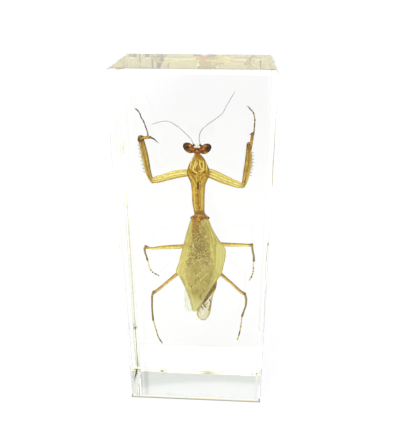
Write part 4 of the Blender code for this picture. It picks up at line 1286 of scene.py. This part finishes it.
def makeHindWings():
    clear = shellMaterial(
        "hindMembrane", "fffff6",
        layers=[
            mottle(0.9, 0.46, 0.6, 0.6, "f6f2c4", detail=3),
            mottle(0.5, 0.52, 0.62, 0.5, "dce0ac", detail=3),
            mark("rim", 0.1, 0.8, 0.9, "c8b83c"),
            mark("gold", 0.12, 0.8, 0.85, "d6b25a"),
            mark("arm", 0.1, 0.8, 0.9, "6e5a20"),
            mark("strip", 0.1, 0.8, 1, "94700c"),
            within("strip", patchMask(0.6, (1, 1, 1.5), 3, 35), [(0.44, 0), (0.54, 1)],
                   0.9, "563800", 0.3, 0.9),
            within("strip", patchMask(0.4, (1.5, 1, 1), 3, 35), [(0.52, 0), (0.62, 1)],
                   0.7, "b89448", 0.3, 0.9),
            mark("grey", 0.15, 0.9, 0.85, "66703a"),
        ],
        bumps=[(cellMask(0.5), 0.04)], roughness=0.35,
    )
    makePiece("rightHindWing", [hindPart("right")], clear)
    pale = shellMaterial(
        "paleMembrane", "f4f8da",
        layers=[
            mottle(1.1, 0.42, 0.62, 0.8, "fafbe8"),
            mark("rim", 0.2, 1, 0.4, "e2e6bc"),
        ],
        bumps=[(cellMask(0.6), 0.03)], alpha=0.4, roughness=0.4,
    )
    makePiece("leftHindWing", [hindPart("left")], pale)
    ribs = []
    for t in np.linspace(0.06, 0.94, hindShape["ribs"]):
        ribs.append(hindPoint("right", np.linspace(0.45, 0.985 - 0.5 * abs(t - 0.5) ** 2, 30), t))
    t = np.linspace(0.05, 0.95, 30)
    for start in hindShape["crossRibs"]:
        ribs.append(hindPoint("right", start + 0.03 * np.sin(t * 20), t))
    ribs = [rib - np.array([0, 0.02, 0]) for rib in ribs]
    gold = shellMaterial("goldRib", "d6c27c", layers=[mottle(0.6, 0.42, 0.62, 0.9, "a98f4c")])
    growTubes("hindWingVeins", ribs, gold, **hindShape["ribTube"])


makeHindWings()
print("hind wings made")


# Forelegs: coxa, femur, shin and claw as in life, with the foot on its thin thread

foreLegs = {
    "left": {
        "flip": 1,
        "coxa": (
            (-0.6, 0.5, 79.8, 1, 0.9), (-3, 0.9, 79.5, 1.1, 1), (-5.8, 1.4, 78.9, 1.2, 1.05),
            (-9, 2.1, 77.75, 1.1, 1), (-11.8, 2.7, 76.8, 1, 0.9), (-12.8, 2.8, 76.5, 0.75),
        ),
        "femur": (
            (-12.7, 2.8, 76.1, 0.55), (-13.3, 2.8, 77.3, 0.7, 0.72), (-13.9, 2.6, 79.5, 0.84, 0.9),
            (-14.3, 2.5, 82.2, 0.97, 1.05), (-14.7, 2.3, 85, 1, 1.05), (-15.1, 2.1, 87.6, 0.9, 0.85),
            (-15.35, 2, 88.9, 0.86, 0.75), (-15.5, 2, 89.7, 0.74, 0.66),
        ),
        "shin": (
            (-15.8, 2, 89.85, 0.6), (-14.6, 1.9, 89.75, 0.5), (-13.6, 1.7, 89.9, 0.45),
            (-12.6, 1.6, 90, 0.38),
        ),
        "knee": (
            (-15.3, 2, 88.5, 0.8, 0.74), (-15.45, 2, 89.2, 0.98, 0.88), (-15.4, 1.95, 89.8, 0.8, 0.72),
            (-15, 1.9, 90.1, 0.45),
        ),
        "claw": ((-12.8, 1.6, 90), (-11.6, 1.5, 89.5), (-10.8, 1.4, 88.8), (-10.3, 1.3, 88.3)),
        "foot": (
            (-13.3, 1.65, 89.9), (-13.35, 1.6, 91.2), (-13.8, 1.3, 93), (-14.4, 1.1, 94.9),
            (-14.9, 0.9, 95.8), (-15.1, 0.7, 96.7), (-15.5, 0.6, 97.5), (-16, 0.4, 98.1),
            (-16.6, 0.2, 98.4),
        ),
        "footTone": "7a6c3c",
        "bands": (
            (0.18, 0.06, "8a7c4c"), (0.36, 0.05, "62521e"), (0.5, 0.025, "302004"), (0.64, 0.03, "2a1c04"),
            (0.76, 0.03, "2a1c04"), (0.88, 0.035, "2a1a04"), (0.985, 0.012, "cfcab8"),
        ),
        "spines": ((-14.85, 2.3, 79.2), (-15.55, 2.1, 83.5), (-16.05, 1.9, 87.4)),
        "lean": (-1, 0.3, 0.25),
    },
    "right": {
        "flip": -1,
        "coxa": (
            (1.8, 0.5, 80.1, 1.2, 1), (4.3, 1, 79.6, 1.4, 1.1), (6.1, 1.4, 78.8, 1.42, 1.15),
            (8.4, 2, 77.6, 1.34, 1.1), (10.8, 2.7, 76.5, 1.14, 1), (12.7, 3.2, 75.7, 0.98, 0.9),
            (13.9, 3.5, 75.3, 0.75),
        ),
        "femur": (
            (14.1, 3.5, 75, 0.55), (14.6, 3.4, 76.5, 0.78, 0.75), (15.1, 3.2, 79.6, 0.97, 0.98),
            (15.5, 2.9, 82.6, 1.02, 1.05), (15.5, 2.5, 85.5, 0.84, 0.88), (15.4, 2.2, 88.3, 0.58, 0.65),
        ),
        "shin": (
            (15.8, 2.1, 86.9, 0.5), (16, 2, 88, 0.48), (16.2, 1.9, 89.2, 0.43),
            (16.35, 1.7, 90.8, 0.46, 0.45), (16.5, 1.6, 91.6, 0.42, 0.4),
        ),
        "knee": (
            (15.45, 2.3, 86.6, 0.66), (15.45, 2.2, 87.6, 0.7, 0.68), (15.42, 2.2, 88.5, 0.6),
        ),
        "claw": ((16.7, 1.5, 91.7), (16.1, 1.5, 91.55), (15.5, 1.5, 91.1)),
        "foot": (
            (16.6, 1.55, 91.2), (16.75, 1.45, 92.4), (16.8, 1.3, 93.9), (16.85, 1.15, 95.4),
            (16.65, 0.9, 96.6), (16.2, 0.7, 97.8), (15.5, 0.5, 98.5), (15, 0.4, 99.1), (14.5, 0.2, 99.5),
        ),
        "footTone": "c4b264",
        "bands": (
            (0.22, 0.17, "70644a"), (0.46, 0.03, "2c1402"), (0.6, 0.02, "8c7c34"), (0.69, 0.02, "2c2004"),
            (0.8, 0.025, "2c2004"), (0.87, 0.02, "2c2004"), (0.985, 0.012, "d9d4bf"),
        ),
        "spines": ((16.05, 2.8, 78.6), (16.6, 2.5, 82.6), (16.4, 2.1, 85.8)),
        "lean": (1, 0.3, 0.25),
    },
}
# sides, steps, and the count and depth of the lengthwise ridges
foreForm = {"coxa": (56, 70, 9, 0.035), "femur": (56, 80, 8, 0.035), "shin": (28, 40, 5, 0.04)}
# rows counted from the start of the femur
elbowRows = ((0, -0.1, -0.1, 0.45, 0.5), (0, 0, 0.3, 0.7, 0.68), (0, 0, 0.8, 0.66, 0.62))
clawShape = {"base": 0.3, "tip": 0.05, "sides": 14, "samples": 28}
spineShape = {"count": 15, "length": 0.85, "radius": 0.12, "tip": 0.008, "shortShare": 0.55}


def lengthwiseRidges(count, depth):
    def profile(angles, along):
        fade = softStep(along, 0.02, 0.15) * (1 - softStep(along, 0.85, 0.98))
        return 1 + depth * np.cos(angles * count) * fade
    return profile


def foreParts(name, flips=None):
    # this length of both forelegs; flips says which side of each its tones start on
    sides, steps, count, depth = foreForm[name]
    return [
        limb(leg[name], sides=sides, steps=steps, flip=flip, profile=lengthwiseRidges(count, depth))
        for leg, flip in zip(foreLegs.values(), flips or [leg["flip"] for leg in foreLegs.values()])
    ]


def makeForeCoxae():
    coxa = shellMaterial(
        "coxaShell", (attributeMask("across"), [
            (0, "c09c30"), (0.1, "f0d65c"), (0.19, "b48a20"), (0.27, "fbe97c"), (0.4, "fffaa6"),
            (0.48, "b88e28"), (0.55, "fce870"), (0.68, "ffffb4"), (0.78, "bc962e"), (0.86, "fff292"),
            (1, "cdbc66"),
        ]),
        layers=[
            mottle(0.8, 0.44, 0.62, 0.5, "f0da60", (2, 1, 1)),
            mottle(0.35, 0.54, 0.66, 0.45, "a47c20", (3, 1, 1), 3),
            mark("along", 0.9, 1, 0.6, "b0893a"),
        ],
        bumps=[(patchMask(0.3, (3, 1, 1)), 0.04)],
    )
    makePiece("foreCoxae", foreParts("coxa", (-1, 1)), coxa)


def makeForeFemora():
    # tones across the femur in stripes; the pale stop near its edge is partly painted light, lifting the
    # shade that falls off there
    femur = shellMaterial(
        "foreFemurShell", (attributeMask("across"), [
            (0, "86661c"), (0.12, "b49038"), (0.24, "e8c95e"), (0.38, "ceac4a"), (0.49, "86641c"),
            (0.58, "aa8c3e"), (0.68, "eecb5c"), (0.77, "bca048"), (0.86, "fff0a0"), (1, "e4d478"),
        ]),
        layers=[
            mottle(0.7, 0.44, 0.6, 0.5, "c89c38", (1, 1, 2.5), 3),
            mottle(0.3, 0.51, 0.62, 0.7, "745010", (1, 1, 3), 3),
            (attributeMask("along"), [(0, 0.5), (0.06, 0.2), (0.14, 0)], "c9a648"),
            mark("along", 0.45, 0.85, 0.4, "8a661e"),
            mark("along", 0.88, 0.97, 0.85, "5a3208"),
        ],
        bumps=[(patchMask(0.25, (1, 1, 3)), 0.04)],
    )
    makePiece("foreFemora", foreParts("femur"), femur)


def makeForeShins():
    shin = shellMaterial(
        "foreShinShell", (attributeMask("along"), [
            (0, "5c3606"), (0.1, "85560e"), (0.22, "c8a034"), (0.6, "cda63a"), (0.85, "b4801e"),
            (1, "552c06"),
        ]),
        layers=[
            mottle(0.4, 0.45, 0.57, 0.9, "7a4c08", detail=3),
            mottle(0.3, 0.52, 0.62, 0.8, "e4c258", detail=3),
            (attributeMask("across"), [(0, 0.6), (0.25, 0), (0.8, 0), (1, 0.5)], "6d420c"),
        ],
        bumps=[(patchMask(0.2), 0.04)],
    )
    makePiece("foreShins", foreParts("shin"), shin)


def makeElbows():
    elbows = []
    for leg in foreLegs.values():
        start = (*leg["femur"][0][:3], 0, 0)
        elbows.append(limb(np.add(elbowRows, start), sides=24, steps=14))
    shell = shellMaterial(
        "elbowShell", "c79a2c",
        layers=[mottle(0.4, 0.45, 0.57, 0.9, "85560e", detail=3)], bumps=[(patchMask(0.2), 0.04)],
    )
    makePiece("elbows", elbows, shell)


def makeForeKnees():
    def lumps(angles, along):
        return 1 + 0.08 * np.sin(3 * angles + 9 * along) * np.sin(14 * along + angles)

    knees = [
        limb(leg["knee"], sides=40, steps=30, flip=leg["flip"], profile=lumps) for leg in foreLegs.values()
    ]
    shell = shellMaterial(
        "kneeShell", "94650e",
        layers=[
            mottle(0.6, 0.44, 0.52, 0.95, "421f02", detail=3),
            mottle(0.35, 0.54, 0.62, 0.9, "dcb24c", detail=3),
        ],
        bumps=[(patchMask(0.25), 0.08)],
    )
    makePiece("foreKnees", knees, shell)


def makeClawsAndSpines():
    claws = [smoothRows(leg["claw"], 24) for leg in foreLegs.values()]
    horn = shellMaterial(
        "clawHorn", (attributeMask("along"), [
            (0, "7a4f24"), (0.3, "3d2412"), (0.8, "2a1d18"), (1, "5a4a48"),
        ]),
        layers=[mottle(0.3, 0.45, 0.7, 0.5, "241409")], roughness=0.4, gloss=0.12,
    )
    growTubes("foreClaws", claws, horn, **clawShape)
    spine = shellMaterial("spineHorn", "a89a58", layers=[mottle(0.4, 0.42, 0.62, 0.9, "6e6030")])
    for name, leg in foreLegs.items():
        path = smoothRows(leg["spines"], 30)
        growSpines(name + "FemurSpines", [path], spine, lean=leg["lean"], **spineShape)


footShape = {
    "root": "b79a54",  # its tone where it starts
    "fade": 0.012,  # the soft ends of a band, as a share of the foot
    "tube": {"joints": 5, "depth": 0.4, "sides": 10, "samples": 90},
    "fore": (0.2, 0.18),  # radius at its start and its tip
    "walking": (0.25, 0.23),
}


def makeFoot(name, leg, kind):
    # a band is its middle and half-length, counted along the foot, and its tone
    tone = leg["footTone"]
    ramp = [(0, footShape["root"]), (0.05, tone)]
    for middle, half, dark in leg["bands"]:
        reach = half + footShape["fade"]
        ramp += [(middle - reach, tone), (middle - half, dark),
                 (middle + half, dark), (middle + reach, tone)]
    material = shellMaterial(
        name + "Shell", (attributeMask("along"), ramp[:-1]),
        layers=[mottle(0.3, 0.5, 0.75, 0.3, "a08c48")],
    )
    growTubes(name, [smoothRows(leg["foot"], 60)], material, *footShape[kind], **footShape["tube"])


makeForeCoxae()
makeForeFemora()
makeForeShins()
makeElbows()
makeForeKnees()
makeClawsAndSpines()
for side, leg in foreLegs.items():
    makeFoot(side + "ForeFoot", leg, "fore")
print("forelegs made")


# Walking legs

walkingLegs = {
    "leftMid": {
        "flip": -1,
        "coxa": ((0.4, 1.4, 61.2, 1, 0.9), (-1, 1.9, 58.4, 0.95, 0.85), (-2.2, 2.2, 55.8, 0.65)),
        "femur": (
            (-2, 2.1, 55.2, 0.6), (-4.3, 2.1, 54.9, 0.7, 0.66), (-7.6, 2.2, 54.55, 0.7, 0.68),
            (-11.1, 2.4, 54.2, 0.56), (-14.8, 2.5, 53.9, 0.44), (-15.9, 2.5, 54.3, 0.56, 0.5),
        ),
        "shin": (
            (-15.8, 2.5, 54.6, 0.42), (-16.25, 2.4, 53.5, 0.36), (-16.15, 2.3, 52.4, 0.3),
            (-15.8, 2.2, 51, 0.28), (-15.5, 2.1, 49.7, 0.34),
        ),
        "foot": (
            (-15.5, 2.1, 49.9), (-15.2, 2, 48.2), (-14.9, 1.9, 46.7), (-14.3, 1.8, 45.8),
            (-13.8, 1.7, 45.2), (-13.1, 1.6, 44.8), (-12.5, 1.5, 44.5), (-11.9, 1.4, 44.2),
        ),
        "footTone": "f4eeb4",
        "bands": ((0.54, 0.022, "2e1e04"), (0.67, 0.022, "2a1a02"), (0.82, 0.05, "2a1a02"),
                  (0.965, 0.03, "8a8670")),
    },
    "rightMid": {
        "flip": 1,
        "coxa": ((2.4, 1.4, 61.2, 1, 0.9), (3.6, 1.9, 58.8, 0.95, 0.85), (4.8, 2.2, 56.6, 0.65)),
        "femur": (
            (4.5, 2.1, 56.1, 0.6), (8.4, 2.1, 56, 0.66, 0.64), (11.2, 2.2, 55.9, 0.64, 0.62),
            (14.1, 2.4, 55.85, 0.56, 0.54), (16.6, 2.5, 55.85, 0.47, 0.46), (17.5, 2.5, 55.85, 0.54, 0.5),
        ),
        "shin": (
            (17.5, 2.5, 56.2, 0.42), (17.65, 2.4, 55, 0.34), (17.9, 2.3, 53.5, 0.31),
            (18.25, 2.2, 51.9, 0.32), (18.3, 2.1, 50.4, 0.36),
        ),
        "foot": (
            (18.3, 2.1, 50.6), (18.2, 2, 48.9), (18.3, 1.9, 47.5), (18.2, 1.8, 46.6),
            (18.05, 1.7, 45.7), (17.75, 1.6, 44.8), (17.5, 1.5, 44.1), (17.1, 1.4, 43.5),
        ),
        "footTone": "f8e8a4",
        "bands": ((0.38, 0.03, "4a3a10"), (0.52, 0.018, "2a1a02"), (0.64, 0.018, "2a1a02"),
                  (0.8, 0.055, "2a1a02"),
                  (0.965, 0.03, "9a9684")),
    },
    "leftHind": {
        "flip": -1,
        "coxa": ((0.3, 1.4, 55.6, 1, 0.9), (-0.9, 2.1, 52.6, 0.95, 0.85), (-2.1, 2.4, 49.6, 0.65)),
        "femur": (
            (-1.8, 2.3, 49.4, 0.5, 0.55), (-4.2, 2.2, 46.8, 0.55, 0.6), (-6.6, 2.1, 44.4, 0.56, 0.6),
            (-9.6, 2.2, 41.5, 0.48, 0.53), (-12.6, 2.4, 38.5, 0.5, 0.52), (-14.2, 2.5, 37.2, 0.53, 0.5),
        ),
        "shin": (
            (-14, 2.5, 37.8, 0.4), (-14.55, 2.4, 36.4, 0.36), (-14.75, 2.3, 34, 0.32),
            (-14.85, 2.2, 31.5, 0.3), (-14.8, 2.1, 29, 0.3), (-14.7, 2, 26.6, 0.35),
        ),
        "foot": (
            (-14.7, 2, 26.8), (-14.2, 1.9, 24.2), (-13.7, 1.8, 22), (-13.4, 1.7, 20.6),
            (-13, 1.6, 19.4), (-12.6, 1.55, 18.6), (-12.2, 1.5, 17.9), (-11.9, 1.4, 17.3),
        ),
        "footTone": "dccb84",
        "bands": ((0.45, 0.012, "6a5220"), (0.63, 0.02, "3a2604"), (0.74, 0.02, "2a1a02"),
                  (0.85, 0.045, "2a1a02"),
                  (0.965, 0.03, "6e5c34")),
    },
    "rightHind": {
        "flip": 1,
        "coxa": ((2.6, 1.3, 55.6, 1, 0.9), (3.7, 1.9, 52.2, 0.95, 0.85), (4.7, 2.25, 48.6, 0.65)),
        "femur": (
            (4.6, 2.3, 48.5, 0.5, 0.55), (6.4, 2.2, 46.7, 0.55, 0.6), (8.3, 2.1, 44.9, 0.56, 0.6),
            (11.6, 2.2, 41.8, 0.46, 0.52), (14.7, 2.4, 38.6, 0.52), (15.9, 2.5, 37.8, 0.5, 0.48),
        ),
        "shin": (
            (15.7, 2.5, 38.3, 0.4), (16.15, 2.4, 37, 0.38), (16.4, 2.3, 35.3, 0.35),
            (16.3, 2.2, 33.5, 0.32), (15.7, 2.1, 31.2, 0.3), (15.2, 2, 29.3, 0.36),
        ),
        "foot": (
            (15.2, 2, 29.5), (15.05, 1.9, 27), (14.85, 1.8, 24.8), (14.65, 1.7, 23.3),
            (14.45, 1.65, 22.2), (14.25, 1.6, 21.2), (14.05, 1.5, 20.4), (13.8, 1.4, 19.8),
        ),
        "footTone": "dccb84",
        "bands": ((0.43, 0.02, "7a6228"), (0.61, 0.02, "4a3610"), (0.74, 0.085, "30280c"),
                  (0.965, 0.03, "8a8c74")),
    },
}


def makeWalkingLegs():
    legs = walkingLegs.values()
    tones = {
        "midFemora": (("leftMid", "rightMid"), [
            (0, "f6eca0"), (0.35, "fffaa4"), (0.55, "fce878"), (0.7, "f0c83c"), (0.82, "d8ac24"),
            (0.92, "a88e20"),
            (1, "9a882c"),
        ]),
        "hindFemora": (("leftHind", "rightHind"), [
            (0, "c8b860"), (0.22, "f6e084"), (0.45, "f4cc60"), (0.65, "dcaa3c"), (0.82, "a07818"),
            (1, "8c6c1c"),
        ]),
    }
    for piece, (names, ramp) in tones.items():
        femur = shellMaterial(
            piece + "Shell", (attributeMask("across"), ramp),
            layers=[
                mottle(0.8, 0.45, 0.62, 0.4, "dcb840", (2, 1, 1), 3),
                mottle(0.4, 0.52, 0.64, 0.5, "8c6c18", (1.6, 1, 1), 3),
                mark("along", 0.9, 0.98, 0.8, "80600f"),
            ],
            bumps=[(patchMask(0.25), 0.03)],
        )
        makePiece(piece, [
            limb(walkingLegs[name]["femur"], sides=32, steps=60, flip=walkingLegs[name]["flip"],
                 profile=lengthwiseRidges(6, 0.03))
            for name in names
        ], femur)
    coxa = shellMaterial(
        "walkingCoxaShell", "cdb45c",
        layers=[mottle(0.7, 0.42, 0.62, 0.8, "a98a3c"),
                mark("along", 0.8, 1, 0.7, "7a5726")],
        bumps=[(patchMask(0.3), 0.05)],
    )
    makePiece("walkingCoxae", [limb(leg["coxa"], sides=28, steps=24) for leg in legs], coxa)
    shin = shellMaterial(
        "walkingShinShell", (attributeMask("along"), [
            (0, "80601a"), (0.08, "ccb446"), (0.2, "b29a3a"), (0.8, "a28a34"), (0.92, "7a6018"),
            (1, "5c4408"),
        ]),
        layers=[
            mottle(0.5, 0.45, 0.6, 0.7, "8a6e18", (1, 1, 2), 3),
            (attributeMask("across"), [(0, 0.7), (0.3, 0), (0.7, 0), (1, 0.7)], "6c5410"),
        ],
        bumps=[(patchMask(0.2), 0.03)],
    )
    shins = [limb(leg["shin"], sides=20, steps=44, flip=leg["flip"]) for leg in legs]
    makePiece("walkingShins", shins, shin)
    for name, leg in walkingLegs.items():
        makeFoot(name + "Foot", leg, "walking")


makeWalkingLegs()
print("walking legs made")


# Floor and light

studioLook = {
    "skyTone": (1.25, 1.25, 1.3),
    "lampTone": (3.65, 3.65, 4.05),  # a wide soft lamp above and behind the camera
    "wallTone": (0.8, 0.82, 0.88),  # high on the wall behind the block
    "shelfTone": (0.6, 0.63, 0.64),
    "backTone": (1.2, 1.17, 1.03),  # low on that wall
    "leftTone": (0.85, 0.85, 0.85),
    "rightTone": (1.1, 1.1, 1.1),
    "cornerTone": (0.84, 0.87, 0.89),  # the right-hand corners, in front and behind
    # where each tone shows, over the ones before it: two ways to look in, and its fade along each
    "zones": (
        ("backTone", ("back", (0.3, 0), (0.55, 1)), ("up", (0, 0), (0.05, 1), (0.3, 1), (0.45, 0))),
        ("wallTone", ("back", (0.3, 0), (0.55, 1)), ("up", (0.45, 0), (0.55, 1), (0.8, 1), (0.92, 0))),
        ("shelfTone", ("back", (0.3, 0), (0.55, 1)), ("up", (0.6, 0), (0.65, 1), (0.683, 1), (0.688, 0))),
        ("leftTone", ("left", (0.55, 0), (0.8, 1)), ("up", (0, 1), (0.5, 1), (0.75, 0))),
        ("rightTone", ("right", (0.55, 0), (0.8, 1)), ("up", (0, 1), (0.5, 1), (0.75, 0))),
        ("lampTone", ("front", (0, 0), (0.3, 1)), ("up", (0.12, 0), (0.3, 1))),
        ("cornerTone", ("back", (0.2, 0), (0.4, 1)), ("right", (0.3, 0), (0.4, 1))),
        ("cornerTone", ("front", (0, 0), (0.3, 1)), ("right", (0.25, 0), (0.35, 1))),
    ),
    "bounces": 64,
    "clearBounces": 16,
    "floorSize": 8,
    "floorGap": 0.1,
    "floorTone": "606060",
    # the paper's glow along Y, in metres, is painted light that fades to painted shade in front of the
    # block, with painted shadow where the block shades it
    "floorGlow": (
        (-0.26, (0.3, 0.29, 0.26)), (-0.07, (0.83, 0.83, 0.9)), (0.15, (0.83, 0.83, 0.9)),
        (0.42, (0.77, 0.77, 0.84)),
    ),
    # painted light: the paper glows brighter to the left and right
    "farGlow": (1.4, 1.4, 1.48),  # to the left and right of the picture
    # painted shadow on the paper under the block
    "shadowUnderBlock": (0.85, 0.76, 0.52),
    # painted shadow along the block's rounded bottom edge
    "shadowAlongBlockEdge": (0.22, 0.24, 0.24),
}


def floorPaintedLightAndShadow(tree):
    place = addNode(tree, "ShaderNodeTexCoord").outputs["Object"]
    axes = addNode(tree, "ShaderNodeSeparateXYZ", {0: place}).outputs
    colour = fillRamp(tree, math(tree, "ADD", axes["Y"], 0.5), [
        (0.5 + y, (*tone, 1)) for y, tone in studioLook["floorGlow"]
    ])
    far = rampPair(
        tree, math(tree, "ABSOLUTE", axes["X"]), [(0.05, 0), (0.14, 1)],
        math(tree, "ADD", axes["Y"], 0.5), [(0.48, 1), (0.56, 0)],
    )
    colour = mixColours(tree, far, colour, (*studioLook["farGlow"], 1))
    outside = [
        math(tree, "SUBTRACT", math(tree, "ABSOLUTE", axes[axis]), reach)
        for axis, reach in (("X", cadBox[1][0]), ("Y", cadBox[1][1]))
    ]
    # 0 to 1 over the four millimetres inside and outside the block's outline
    edge = math(tree, "ADD", math(tree, "MULTIPLY", math(tree, "MAXIMUM", *outside), 125), 0.5)
    # painted shadow under the block and along its bottom edge
    for tone, stops in (("shadowAlongBlockEdge", [(0.49, 1), (0.505, 0)]), ("shadowUnderBlock", [(0.42, 1), (0.45, 0)])):
        colour = mixColours(tree, rampMask(tree, edge, stops), colour, (*studioLook[tone], 1))
    return colour


def makeFloor():
    bm = bmesh.new()
    bmesh.ops.create_grid(bm, x_segments=1, y_segments=1, size=studioLook["floorSize"] / 2)
    bmesh.ops.translate(bm, vec=(0, 0, -studioLook["floorGap"] * millimetre), verts=bm.verts)
    mesh = bpy.data.meshes.new("floor")
    bm.to_mesh(mesh)
    bm.free()
    material = shellMaterial(
        "floorPaper", studioLook["floorTone"],
        layers=[mottle(30, 0.4, 0.6, 0.3, "5e5e5c")], roughness=0.8, gloss=0.1,
    )
    tree = material.node_tree
    shader = tree.nodes["Principled BSDF"]
    # the paper glows with painted light, with painted shade and shadow laid into that glow
    tree.links.new(floorPaintedLightAndShadow(tree), shader.inputs["Emission Color"])
    shader.inputs["Emission Strength"].default_value = 1
    mesh.materials.append(material)
    floor = placeThing("floor", mesh)


def makeLight():
    world = bpy.data.worlds.new("studio")
    world.use_nodes = True
    bpy.context.scene.world = world
    tree = world.node_tree
    way = addNode(tree, "ShaderNodeTexCoord").outputs["Generated"]
    axes = addNode(tree, "ShaderNodeSeparateXYZ", {0: way}).outputs
    ways = {
        "right": axes["X"], "back": axes["Y"], "up": axes["Z"],
        "left": math(tree, "MULTIPLY", axes["X"], -1), "front": math(tree, "MULTIPLY", axes["Y"], -1),
    }
    colour = (*studioLook["skyTone"], 1)
    for tone, (first, *firstStops), (second, *secondStops) in studioLook["zones"]:
        zone = rampPair(tree, ways[first], firstStops, ways[second], secondStops)
        colour = mixColours(tree, zone, colour, (*studioLook[tone], 1))
    tree.links.new(colour, tree.nodes["Background"].inputs["Color"])
    scene = bpy.context.scene
    scene.view_settings.view_transform = "Standard"
    scene.cycles.max_bounces = studioLook["bounces"]
    scene.cycles.transmission_bounces = studioLook["bounces"]
    scene.cycles.transparent_max_bounces = studioLook["clearBounces"]
    scene.cycles.use_denoising = True


makeFloor()
makeLight()
print("floor and light made")
